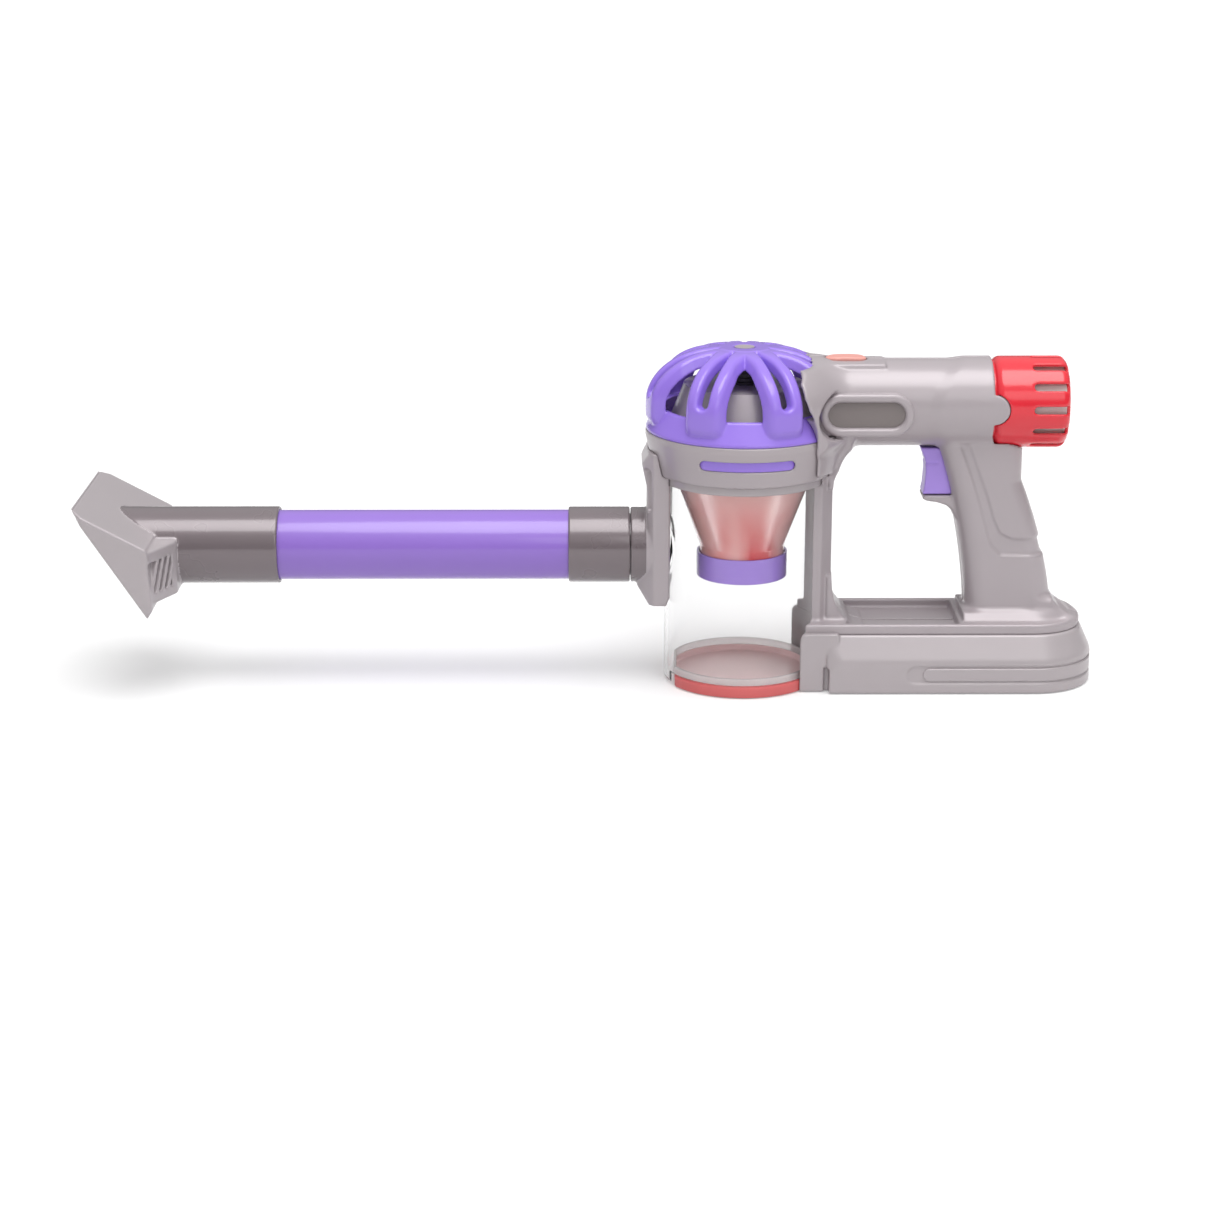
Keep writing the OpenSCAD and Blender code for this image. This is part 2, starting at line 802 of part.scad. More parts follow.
module shroud_ring() {
    r_in = sleeve_r + fit;
    r_out = r_in + shroud_ring_wall;
    color([0.65, 0.55, 0.85]) tube_z(r_out, r_in, shroud_ring_z, shroud_ring_z + shroud_ring_h);
}

module inlet_bracket() {
    bulge_x = bracket_x - bracket_bulge;
    peak_z = ring_top - 17.5;
    color([0.62, 0.58, 0.59]) difference() {
        union() {
            side_plate(bracket_w) polygon([
                [bracket_in_x, bracket_foot + 5],
                [bracket_in_x - 2, bracket_foot],
                [bracket_x + 1, bracket_foot],
                [bulge_x, bracket_foot + 9],
                [bulge_x, bracket_foot + 14],
                [bracket_x, wand_z - cuff_r / 2],
                [bracket_x, peak_z - 14],
                [bracket_x - 3, peak_z],
                [bracket_x + 1, peak_z + 7],
                [bracket_in_x, peak_z + 7]
            ]);
            rod_x(seam_x, bracket_x + 1, wand_z, cuff_r - 0.2);
        }
        tower_space(fit);
        rod_x(-far, far, wand_z, spigot_r + fit);
    }
}

module inlet_spigot() {
    color([0.5, 0.47, 0.48]) difference() {
        rod_x(wand_x - spigot_len, bracket_in_x, wand_z, spigot_r);
        rod_x(-far, far, wand_z, spigot_r - spigot_wall);
    }
}

module wand_cuff() {
    color([0.55, 0.51, 0.53]) difference() {
        rod_x(cuff_x, wand_x, wand_z, cuff_r);
        rod_x(cuff_x - 1, cuff_x + tube_seat, wand_z, tube_r + fit);
        rod_x(cuff_x, far, wand_z, spigot_r + slide_gap);
    }
}

module wand_tube() {
    color([0.56, 0.43, 0.83]) difference() {
        rod_x(neck_x - tube_seat + saddle_gap, cuff_x + tube_seat - fit, wand_z, tube_r);
        rod_x(-2 * far, far, wand_z, tube_r - tube_wall);
    }
}

// Side view of the head: front edge, rear edge of the mouth, foot and top of the back wall
head_side = [
    [head_front, wand_z + head_front_up],
    [head_x - 1, wand_z - head_back_down],
    [head_x + head_heel, wand_z - head_back_down + 4.5],
    [head_x, wand_z + head_back_up]
];
mouth_run = head_side[1] - head_side[0];

module head_shell() {
    half = head_w / 2;
    color([0.7, 0.67, 0.68]) difference() {
        union() {
            intersection() {
                side_plate(head_w) polygon(head_side);
                linear_extrude(far) polygon([
                    [head_front - 1, head_chamfer - half],
                    [head_front + head_chamfer, -half],
                    [head_x + far / 4, -half],
                    [head_x + far / 4, half],
                    [head_front + head_chamfer, half],
                    [head_front - 1, half - head_chamfer]
                ]);
            }
            difference() {
                rod_x(head_x - head_len / 2, neck_x, wand_z, neck_r);
                side_plate(head_w) polygon([head_side[0], [head_front, head_side[1].y], head_side[1]]);
            }
        }
        side_plate(head_w - 2 * head_wall - head_chamfer)
            polygon(inset(head_side, [-sole_t, head_wall, head_wall, head_wall]));
        rod_x(head_x - 2 * head_wall, neck_x, wand_z, tube_r - tube_wall);
        rod_x(neck_x - tube_seat, neck_x + 1, wand_z, tube_r + slide_gap);
    }
}

module head_sole() {
    edge = head_wall + fit;
    mid = (head_side[0] + head_side[1]) / 2;
    color([0.5, 0.47, 0.48]) difference() {
        side_plate(head_w - 2 * edge - head_chamfer) polygon(inset(head_side, [fit, edge, edge, edge]));
        side_plate(head_w) polygon(inset(head_side, [fit + sole_t, -1, -1, -1]));
        translate([mid.x, 0, mid.y]) rotate([0, atan2(-mouth_run.y, mouth_run.x), 0])
            cube([norm(mouth_run) - 2 * sole_rim, head_w - 2 * sole_rim, far / 5], center = true);
    }
}

module grip_slice(z) {
    for (x = [grip_front(z) + grip_round, grip_rear(z) - grip_round], s = [-1, 1])
        translate([x, s * (grip_w / 2 - grip_round), z]) cylinder(r = grip_round, h = 0.1, $fn = 32);
}

module grip() {
    for (i = [1:len(grip_levels) - 1]) hull() {
        grip_slice(grip_levels[i - 1]);
        grip_slice(grip_levels[i]);
    }
}

// Rounded inner corner in the side view, from low to high along the upright at x, and filled on to back
module corner_fillet(x, low, high, back, reach, w) {
    side_plate(w) polygon(concat(
        [for (t = [0:0.2:1]) [bow(x, x, x + reach, t), bow(low, high, high, t)]],
        [[x + reach, back], [x - 3, back], [x - 3, low]]
    ));
}

module saddle() {
    rotate([0, 0, -saddle_angle / 2]) rotate_extrude(angle = saddle_angle)
        translate([bin_r, ring_top - 12]) square([ring_r + saddle_t - bin_r, 12 + window_sill - 1]);
}

// Cheeks of the barrel's front end, which lie over the back of the dome
module cheeks() {
    low = ring_top + window_sill - 2;
    high = barrel_z + barrel_r - cheek_t;
    outline = [for (p = dome_curve(-cheek_t)) if (p[1] > low && p[1] < high) p];
    rotate([0, 0, -cheek_angle / 2]) rotate_extrude(angle = cheek_angle) polygon(concat(
        [[ring_r - cheek_t, low], [ring_r + cheek_t, low]],
        outline,
        [outline[len(outline) - 1] - [3 * cheek_t, 0]]
    ));
}

module strut() {
    under = barrel_z - barrel_r;
    translate([0, 0, base_h]) linear_extrude(ring_z + 2 - base_h) polygon([
        [strut_in_x, -strut_half_w],
        [strut_edge_x, -strut_half_w],
        [strut_x, strut_corner - strut_half_w],
        [strut_x, strut_half_w - strut_corner],
        [strut_edge_x, strut_half_w],
        [strut_in_x, strut_half_w]
    ]);
    corner_fillet(strut_x, under - web_top, under, strut_join_z, web_top_reach, web_w);
    corner_fillet(strut_x, foot_z + web_foot, foot_z, base_h, web_reach, web_w);
}

module foot() {
    translate([0, 0, base_h]) linear_extrude(rail_h) difference() {
        union() {
            translate([strut_in_x, -foot_w / 2]) square([rear_cx - strut_in_x, foot_w]);
            translate([rear_cx, 0]) circle(d = foot_w);
        }
        translate([trough_x, rail_t - foot_w / 2]) square([trough_end - trough_x, foot_w - 2 * rail_t]);
    }
    side_plate(grip_w) polygon([
        [grip_back_foot - grip_round, foot_z - 0.1],
        [rear_cx + foot_w / 2 - 4, foot_z - 0.1],
        [grip_rear(foot_z + heel_h) - 1, foot_z + heel_h],
        [grip_back_foot - grip_round, foot_z + heel_h]
    ]);
}

module trigger_guard() {
    side_plate(trigger_w + guard_t / 2) polygon([
        [trigger_x + trigger_d * 0.1, shelf_z],
        [trigger_x + trigger_d * 0.1, shelf_z - guard_t * 0.4],
        [trigger_x + trigger_d * 0.58, shelf_z - guard_t],
        [trigger_x + trigger_d * 0.9, shelf_z - guard_t * 1.6],
        [trigger_x + trigger_d * 1.15, shelf_z - guard_t * 2.4],
        [trigger_x + trigger_d * 1.15, shelf_z]
    ]);
}

module cap_tab(r) {
    intersection() {
        difference() {
            rod_x(barrel_end - 1, barrel_end + r, barrel_z, rear_r);
            rod_x(barrel_end - 2, barrel_end + r + 1, barrel_z, rear_in_r);
        }
        rod_y(barrel_end, barrel_z, r, -far, far);
    }
}

// Space of the rear cap over the top of the grip
module cap_space(gap) {
    rod_x(barrel_end, far, barrel_z, rear_r + gap);
}

module badge_block(grow, depth) {
    translate([badge_x, 0, badge_z]) rotate([90, 0, 0]) translate([0, 0, badge_out - depth])
        linear_extrude(depth) stadium(badge_len + 2 * grow, badge_h + 2 * grow);
}

module body_solid() {
    rod_x(bin_r - 10, barrel_end - rear_len, barrel_z, barrel_r);
    translate([barrel_end - rear_len - shoulder_len, 0, barrel_z]) rotate([0, 90, 0])
        cylinder(r1 = barrel_r, r2 = rear_r, h = shoulder_len);
    rod_x(barrel_end - rear_len, barrel_end, barrel_z, rear_r);
    cap_tab(tab_r);
    difference() {
        union() {
            saddle();
            cheeks();
        }
        badge_block(fit, far / 4);
    }
    strut();
    difference() {
        grip();
        cap_space(fit);
    }
    foot();
    trigger_guard();
}

// Hollow of the barrel and grip, without its screw bosses and rests
module body_hollow() {
    inset_x = shell_wall + grip_round / 2;
    rest = 15;
    low = foot_z + shell_wall;
    high = barrel_z - barrel_r + 4;
    heights = [for (i = [0:6]) low + i * (high - low) / 6];
    difference() {
        rod_x(bin_r, barrel_end - rear_len, barrel_z, barrel_r - shell_wall);
        tower_space(fit + shell_wall);
        for (s = [-1, 1]) translate([board_x, s * (board_w / 2 - 1) - (s < 0 ? rest : 0), board_z - 2])
            cube([board_len, rest, 2]);
    }
    rod_x(barrel_end - rear_len - 1, barrel_end + far, barrel_z, rear_in_r);
    difference() {
        side_plate(grip_w - 2 * shell_wall) polygon(concat(
            [for (z = heights) [grip_front(z) + inset_x, z]],
            [for (i = [6:-1:0]) [grip_rear(heights[i]) - inset_x, heights[i]]]
        ));
        cap_space(fit + shell_wall);
        for (s = [-1, 1])
            translate([switch_x + 2, s * (switch_w / 2 + fit) - (s < 0 ? rest : 0), switch_z + 3])
                cube([switch_len - 4, rest, switch_h - 6]);
    }
}

module body_half(side) {
    difference() {
        union() {
            difference() {
                body_solid();
                body_hollow();
            }
            for (p = body_screw_places) rod_y(p.x, p.y, boss_r, -p.z, p.z);
        }
        tower_space(fit);
        translate([-far, side > 0 ? -2 * far : 0, -far]) cube([3 * far, 2 * far, 3 * far]);
        translate([trigger_x - 4, -trigger_w / 2 - run, shelf_z])
            cube([trigger_back + trigger_travel + 5 - trigger_x, trigger_w + 2 * run, trigger_h + 2 * run]);
        translate([button_x, 0, button_low - button_travel - run]) linear_extrude(far)
            stadium(button_len + 2 * run, button_w + 2 * run);
        translate([stem_x, 0, board_z]) cylinder(r = stem_r + run, h = far);
        for (p = body_screw_places) body_screw_hole(p, side);
    }
}

module body_screw_hole(p, side) {
    if (side > 0) {
        rod_y(p.x, p.y, screw_r + fit, -far, far);
        rod_y(p.x, p.y, screw_head_r + fit, p.z - screw_head_h - screw_sink, far);
    }
    else {
        rod_y(p.x, p.y, screw_r + pivot_gap, screw_cover - p.z, far);
    }
}

module body_near() {
    color([0.66, 0.63, 0.64]) body_half(-1);
}

module body_far() {
    color([0.66, 0.63, 0.64]) body_half(1);
}

module body_screws() {
    color("silver") for (p = body_screw_places) {
        rod_y(p.x, p.y, screw_head_r, p.z - screw_head_h - screw_sink + fit, p.z - screw_sink);
        rod_y(p.x, p.y, screw_r, screw_cover + screw_sink - p.z, p.z - screw_head_h);
    }
}

module rear_cap() {
    plug_out = rear_in_r - fit;
    plug_in = plug_out - cap_wall;
    round_r = 5;
    color([0.85, 0.2, 0.25]) difference() {
        translate([barrel_end, 0, barrel_z]) rotate([0, 90, 0]) rotate_extrude() polygon(concat(
            [[plug_in, -seat_len], [plug_out, -seat_len], [plug_out, fit], [rear_r, fit]],
            [for (a = [0:15:90]) [rear_r - round_r + round_r * cos(a), cap_len - round_r + round_r * sin(a)]],
            [
                [cap_hole_r, cap_len],
                [cap_hole_r, cap_len - cap_wall],
                [filter_r + fit, cap_len - cap_wall],
                [cap_in_r, cap_len - round_r],
                [cap_in_r, 3],
                [plug_in, 1]
            ]
        ));
        for (i = [0:cap_slots - 1]) translate([0, 0, barrel_z]) rotate([i * 360 / cap_slots, 0, 0])
            translate([cap_end, -filter_r - fit, 0]) rotate([90, 0, 0]) linear_extrude(far)
                stadium(2 * cap_slot_len, cap_slot_w);
        difference() {
            rod_y(barrel_end, barrel_z, tab_r + fit, -far, far);
            rod_x(0, far, barrel_z, plug_out);
        }
    }
}

module filter_core() {
    color([0.82, 0.81, 0.8]) rod_x(barrel_end - seat_len, cap_end - cap_wall, barrel_z, filter_r);
}

module trigger() {
    top = trigger_z + trigger_h;
    color([0.6, 0.48, 0.84]) side_plate(trigger_w) polygon([
        [trigger_x, top],
        [trigger_x + 2.6, top - trigger_h * 0.25],
        [trigger_x + 3.2, top - trigger_h * 0.5],
        [trigger_x + 2.6, trigger_z],
        [trigger_back, trigger_z],
        [trigger_back, top]
    ]);
}

module trigger_spring() {
    z = switch_z + switch_h / 2;
    color("silver") difference() {
        rod_x(trigger_back + fit, switch_x - fit, z, trigger_spring_r);
        rod_x(0, far, z, trigger_spring_r - spring_wire);
    }
}

module trigger_switch() {
    color([0.15, 0.15, 0.16]) translate([switch_x, -switch_w / 2, switch_z])
        cube([switch_len, switch_w, switch_h]);
}

module top_button() {
    color([0.92, 0.6, 0.55]) {
        translate([button_x, 0, button_low]) linear_extrude(button_h) stadium(button_len, button_w);
        translate([stem_x, 0, stem_low]) cylinder(r = stem_r, h = button_low + 0.5 - stem_low);
    }
}

module button_spring() {
    low = board_z + board_t + fit;
    color("silver") translate([stem_x, 0, 0])
        tube_z(button_spring_r, button_spring_r - spring_wire, low, button_low - fit);
}

module button_switch() {
    color([0.15, 0.15, 0.16]) translate([stem_x, 0, board_z + board_t]) cylinder(r = stem_r - run, h = key_h);
}

module circuit_board() {
    color([0.15, 0.4, 0.25]) translate([board_x, -board_w / 2, board_z]) cube([board_len, board_w, board_t]);
}

module badge_bezel() {
    color([0.74, 0.71, 0.72]) difference() {
        badge_block(0, badge_depth);
        rod_x(0, far, barrel_z, barrel_r + fit);
        tower_space(fit);
        badge_opening(far);
    }
}

module badge_opening(depth) {
    translate([badge_x, 0, badge_z]) rotate([90, 0, 0])
        linear_extrude(depth, center = true) stadium(badge_len - 2 * badge_rim, badge_h - 2 * badge_rim);
}

module badge_plate() {
    color([0.5, 0.47, 0.47]) translate([badge_x, 0, badge_z]) rotate([90, 0, 0])
        translate([0, 0, barrel_r + fit]) linear_extrude(plate_t)
            stadium(badge_len - 2 * badge_rim - 2 * fit, badge_h - 2 * badge_rim - 2 * fit);
}

module base_plan(t) {
    translate([base_x + t, t - base_w / 2]) square([rear_cx - base_x - t, base_w - 2 * t]);
    translate([rear_cx, 0]) circle(d = base_w - 2 * t);
}

// Base with upright sides and a bevel up to its flat top, drawn in by a wall
module base_form(t, x0, z0) {
    half = base_w / 2 - t;
    top_half = base_top_w / 2 - t;
    translate([x0, 0, 0]) rotate([90, 0, 90]) linear_extrude(rear_cx - x0) polygon([
        [-half, z0],
        [half, z0],
        [half, side_h],
        [top_half, base_h - t],
        [-top_half, base_h - t],
        [-half, side_h]
    ]);
    translate([rear_cx, 0, z0]) cylinder(r = half, h = side_h - z0);
    translate([rear_cx, 0, side_h]) cylinder(r1 = half, r2 = top_half, h = base_h - t - side_h);
}

module trim_band(t_in, t_out, grow, x0) {
    mid = trim_z + trim_h / 2;
    intersection() {
        translate([0, 0, mid - trim_h / 2 - grow]) linear_extrude(trim_h + 2 * grow) difference() {
            base_plan(t_out);
            base_plan(t_in);
        }
        translate([x0, -far / 2, 0]) cube([far, far, far]);
    }
}

// Room for the lid's hinge arms
module hinge_pocket() {
    half = arm_y + arm_w + run;
    translate([0, -half, -1]) cube([hinge_x + knuckle_r + run, 2 * half, lid_h + plug_h]);
}

module base_shell() {
    color([0.7, 0.67, 0.68]) difference() {
        union() {
            difference() {
                base_form(0, base_x, 0);
                base_form(base_wall, block_end, -1);
                hinge_pocket();
            }
            difference() {
                translate([block_x, -block_half_w, 0]) cube([block_end - block_x, 2 * block_half_w, base_h]);
                hinge_pocket();
            }
            translate([hinge_x, -knuckle_w / 2, hinge_z - knuckle_r])
                cube([block_end - hinge_x, knuckle_w, 2 * knuckle_r]);
            rod_y(hinge_x, hinge_z, knuckle_r, -knuckle_w / 2, knuckle_w / 2);
            for (p = cover_screw_places) translate([p.x, p.y, cover_t])
                cylinder(r = boss_r, h = base_h - cover_t - base_wall / 2);
        }
        translate([0, 0, -1]) cylinder(r = bin_r + saddle_gap, h = far);
        translate([0, 0, -1]) cylinder(r = bin_r + saddle_gap + lid_swing, h = 1 + hinge_z);
        rod_y(hinge_x, hinge_z, pin_r + pivot_gap, -far, far);
        trim_band(trim_depth, -1, trim_gap, trim_x - trim_lead);
        for (p = cover_screw_places) translate([p.x, p.y, 0])
            cylinder(r = screw_r + pivot_gap, h = cover_t + cover_screw_len + 1);
    }
}

module base_trim() {
    color([0.72, 0.69, 0.7]) trim_band(trim_depth - fit, fit, 0, trim_x);
}

module base_cover() {
    t = base_wall + fit;
    color([0.55, 0.52, 0.53]) difference() {
        linear_extrude(cover_t) intersection() {
            base_plan(t);
            translate([block_end + fit, -far / 2]) square([far, far]);
        }
        translate([0, 0, -1]) linear_extrude(far) door_plan(fit);
        for (p = cover_screw_places) translate([p.x, p.y, -1]) {
            cylinder(r = screw_r + fit, h = far);
            cylinder(r = screw_head_r + fit, h = 1 + cover_head_h + fit);
        }
    }
}

module door_plan(grow) {
    translate([door_x - grow, -door_w / 2 - grow]) square([door_len + 2 * grow, door_w + 2 * grow]);
    translate([door_x + door_len, -door_tab / 2 - grow]) square([door_tab + grow, door_tab + 2 * grow]);
}

module cover_screw(p) {
    translate([p.x, p.y, fit / 2]) {
        cylinder(r = screw_head_r, h = cover_head_h);
        cylinder(r = screw_r, h = cover_t + cover_screw_len);
    }
}

module cover_screws() {
    color("silver") for (i = [0:3]) cover_screw(cover_screw_places[i]);
}

module door_screw() {
    color("silver") cover_screw(cover_screw_places[4]);
}

module battery_door() {
    p = cover_screw_places[4];
    color([0.55, 0.52, 0.53]) difference() {
        linear_extrude(cover_t) door_plan(0);
        translate([p.x, p.y, -1]) {
            cylinder(r = screw_r + fit, h = far);
            cylinder(r = screw_head_r + fit, h = 1 + cover_head_h + fit);
        }
    }
}

module cell_rows() {
    for (i = [-1:1]) translate([0, i * cell_pitch, 0]) children();
}

module battery_tray() {
    top = cell_z + cell_d / 2 + fit + tray_t;
    color([0.3, 0.3, 0.32]) difference() {
        translate([tray_x - tray_t, -tray_w / 2, cover_t])
            cube([tray_len + 2 * tray_t, tray_w, top - cover_t]);
        cell_rows() {
            rod_x(tray_x, tray_x + tray_len, cell_z, cell_d / 2 + fit);
            translate([tray_x, -cell_d / 2 - fit, 0]) cube([tray_len, cell_d + 2 * fit, cell_z]);
        }
    }
}

module battery(row) {
    color([0.75, 0.72, 0.55]) translate([0, row * cell_pitch, 0]) {
        rod_x(cell_x + cell_nub, cell_x + cell_len, cell_z, cell_d / 2);
        rod_x(cell_x, cell_x + cell_nub + fit, cell_z, cell_d * 0.19);
    }
}

module front_contacts() {
    color([0.8, 0.75, 0.5]) cell_rows() translate([tray_x + fit, -contact_w / 2, cell_z - contact_w / 2])
        cube([contact_t, contact_w, contact_w]);
}

module rear_contacts() {
    back = tray_x + tray_len - fit;
    color([0.8, 0.75, 0.5]) cell_rows() {
        translate([back - contact_t, -contact_w / 2, cell_z - contact_w / 2])
            cube([contact_t, contact_w, contact_w]);
        difference() {
            rod_x(cell_x + cell_len + cell_gap, back - contact_t / 2, cell_z, contact_r);
            rod_x(0, back - contact_t, cell_z, contact_r - spring_wire);
        }
    }
}

bin_lid();
lid_hinge_pin();
clear_bin();
bin_collar();
cyclone_ring();
ring_slot_insert();
cyclone_cover();
cover_hub_cap();
motor_housing();
ribbed_column();
drive_motor();
motor_shaft();
fan_wheel();
shroud_cone();
shroud_ring();
inlet_bracket();
inlet_spigot();
wand_cuff();
wand_tube();
head_shell();
head_sole();
body_near();
body_far();
body_screws();
rear_cap();
filter_core();
trigger();
trigger_spring();
trigger_switch();
top_button();
button_spring();
button_switch();
circuit_board();
badge_bezel();
badge_plate();
base_shell();
base_trim();
base_cover();
cover_screws();
battery_door();
door_screw();
battery_tray();
battery(-1);  // battery_1
battery(0);  // battery_2
battery(1);  // battery_3
front_contacts();
rear_contacts();
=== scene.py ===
"""Looks of the toy vacuum cleaner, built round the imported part.

Lengths in the shape sections are millimetres in the part's own frame: +X to the rear, +Y away from the
camera, +Z up, with the origin on the bin's axis at the underside of its lid.
"""
import math

import bpy
import numpy as np
from mathutils import Matrix, Vector


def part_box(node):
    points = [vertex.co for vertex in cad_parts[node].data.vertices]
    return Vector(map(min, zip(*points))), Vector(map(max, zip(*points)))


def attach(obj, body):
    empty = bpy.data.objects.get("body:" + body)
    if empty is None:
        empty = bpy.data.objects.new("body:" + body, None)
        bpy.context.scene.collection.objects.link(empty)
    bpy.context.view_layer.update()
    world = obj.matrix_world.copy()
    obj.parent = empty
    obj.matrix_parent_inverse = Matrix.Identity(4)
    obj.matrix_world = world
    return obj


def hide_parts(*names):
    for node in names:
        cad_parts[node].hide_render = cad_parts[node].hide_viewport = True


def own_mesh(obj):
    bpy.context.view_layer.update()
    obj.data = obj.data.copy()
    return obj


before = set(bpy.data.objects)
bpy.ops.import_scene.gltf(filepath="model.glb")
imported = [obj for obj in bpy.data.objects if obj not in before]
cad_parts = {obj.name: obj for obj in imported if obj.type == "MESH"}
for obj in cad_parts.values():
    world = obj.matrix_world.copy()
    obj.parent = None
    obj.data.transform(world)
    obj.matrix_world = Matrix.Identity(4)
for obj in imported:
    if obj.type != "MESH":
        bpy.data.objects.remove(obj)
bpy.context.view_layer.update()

MM = 0.001
TURN = 2 * math.pi

# Main sizes, as in the part's source
BIN_R = 43.0
RING_Z, RING_TOP, RING_LOW_R, RING_R = 120.0, 143.0, 49.5, 54.0
COLLAR_Z, COLLAR_R = 114.8, 46.2
DOME_TOP, DOME_BAND, DOME_SLOPE_R, DOME_SILL = 188.0, 15.5, 47.3, 155.7
WAND_Z, NECK_R, CUFF_R, TUBE_R = 76.5, 21.3, 21.0, 19.3
NECK_X, CUFF_X, WAND_X, SEAM_X = -256.3, -96.3, -62.5, -62.0
BARREL_Z, BARREL_R, BARREL_END, REAR_R = 157.3, 24.0, 134.6, 25.1
BASE_X, BASE_H, BASE_SIDE_H, REAR_CX, BASE_HALF = 46.0, 32.0, 18.0, 161.0, 35.0
FOOT_TOP, FOOT_HALF = 37.5, 27.5
STRUT_X, STRUT_HALF, NOSE_X = 48.7, 22.0, 38.0
GRIP_W, GRIP_ROUND = 32.0, 11.0
HEAD_HALF, DUCT_R, CAP_SEAT_R = 50.0, 17.4, 22.9
BADGE_X, BADGE_Z, BADGE_L, BADGE_W = 65.3, 155.1, 51.2, 23.6
BUTTON_X, STEM_X = 55.3, 62.0
HINGE_X, HINGE_Z, HINGE_R, KNUCKLE_HALF = 47.5, 3.25, 2.9, 7.0
LID_FRONT, PLUG_R = -37.5, 38.9
TRIM_Z = 10.75


# Solids drawn as signed distances on a grid, negative inside

class Grid:
    """Points of a box in millimetres, as three arrays that spread over each other."""

    def __init__(self, low, high, step):
        self.step = step
        self.low = np.array(low, np.float32) - 2 * step
        count = np.ceil((np.array(high) - self.low) / step).astype(int) + 3
        axes = [self.low[i] + step * np.arange(count[i], dtype=np.float32) for i in range(3)]
        self.x = axes[0][:, None, None]
        self.y = axes[1][None, :, None]
        self.z = axes[2][None, None, :]
        self.shape = tuple(count)


def join(a, b, k=0.0):
    """Union with a fillet of about k."""
    if k <= 0:
        return np.minimum(a, b)
    h = np.clip(0.5 + 0.5 * (b - a) / k, 0, 1)
    return b + (a - b) * h - k * h * (1 - h)


def both(a, b, k=0.0):
    """Overlap of two shapes, with its edge eased by k."""
    return -join(-a, -b, k)


def cut(a, b, k=0.0):
    """First shape without the second, with the edge eased by k."""
    return -join(-a, b, k)


def slab(a, b, r):
    """Where two shapes meet, with the edge between them rounded by r."""
    a, b = a + r, b + r
    return np.minimum(np.maximum(a, b), 0) + np.hypot(np.maximum(a, 0), np.maximum(b, 0)) - r


def span(v, low, high):
    """Distance past a range."""
    return np.abs(v - (low + high) / 2) - (high - low) / 2


def block(g, x, y, z, r=0.5):
    """Box given by its three ranges, with rounded edges."""
    a, b, c = span(g.x, *x) + r, span(g.y, *y) + r, span(g.z, *z) + r
    out = np.sqrt(np.maximum(a, 0) ** 2 + np.maximum(b, 0) ** 2 + np.maximum(c, 0) ** 2)
    return out + np.minimum(np.maximum(np.maximum(a, b), c), 0) - r


def polygon(u, v, points):
    """Signed distance to an outline in the plane of u and v."""
    points = np.asarray(points, np.float32)
    best, inside = None, False
    for (ax, ay), (bx, by) in zip(points, np.roll(points, -1, 0)):
        ex, ey = bx - ax, by - ay
        t = np.clip(((u - ax) * ex + (v - ay) * ey) / (ex * ex + ey * ey), 0, 1)
        d = (u - ax - ex * t) ** 2 + (v - ay - ey * t) ** 2
        best = d if best is None else np.minimum(best, d)
        if by != ay:
            inside = inside ^ (((ay <= v) != (by <= v)) & (u < ax + ex * (v - ay) / ey))
    return np.where(inside, -1, 1) * np.sqrt(best)


def stadium(u, v, length, width):
    """Distance to a bar with round ends."""
    return np.hypot(np.maximum(np.abs(u) - (length - width) / 2, 0), v) - width / 2


def ease(t):
    """Smooth step from 0 to 1."""
    t = np.clip(t, 0, 1)
    return t * t * (3 - 2 * t)


def bow(a, b, c, t):
    """Place along a curve from a to c that is drawn towards b."""
    return (1 - t) ** 2 * a + 2 * t * (1 - t) * b + t * t * c


def corner_samples(field, p):
    """Value and slope of a field at points given in grid steps."""
    cell = np.clip(p.astype(np.int32), 0, np.array(field.shape) - 2)
    f = p - cell
    i, j, k = cell.T
    c = {(a, b, d): field[i + a, j + b, k + d] for a in (0, 1) for b in (0, 1) for d in (0, 1)}
    w = [(1 - f[:, n], f[:, n]) for n in range(3)]
    value = sum(c[q] * w[0][q[0]] * w[1][q[1]] * w[2][q[2]] for q in c)
    slope = np.empty_like(p)
    for n in range(3):
        m, o = [q for q in range(3) if q != n]
        slope[:, n] = sum((1 if q[n] else -1) * c[q] * w[m][q[m]] * w[o][q[o]] for q in c)
    return value, slope


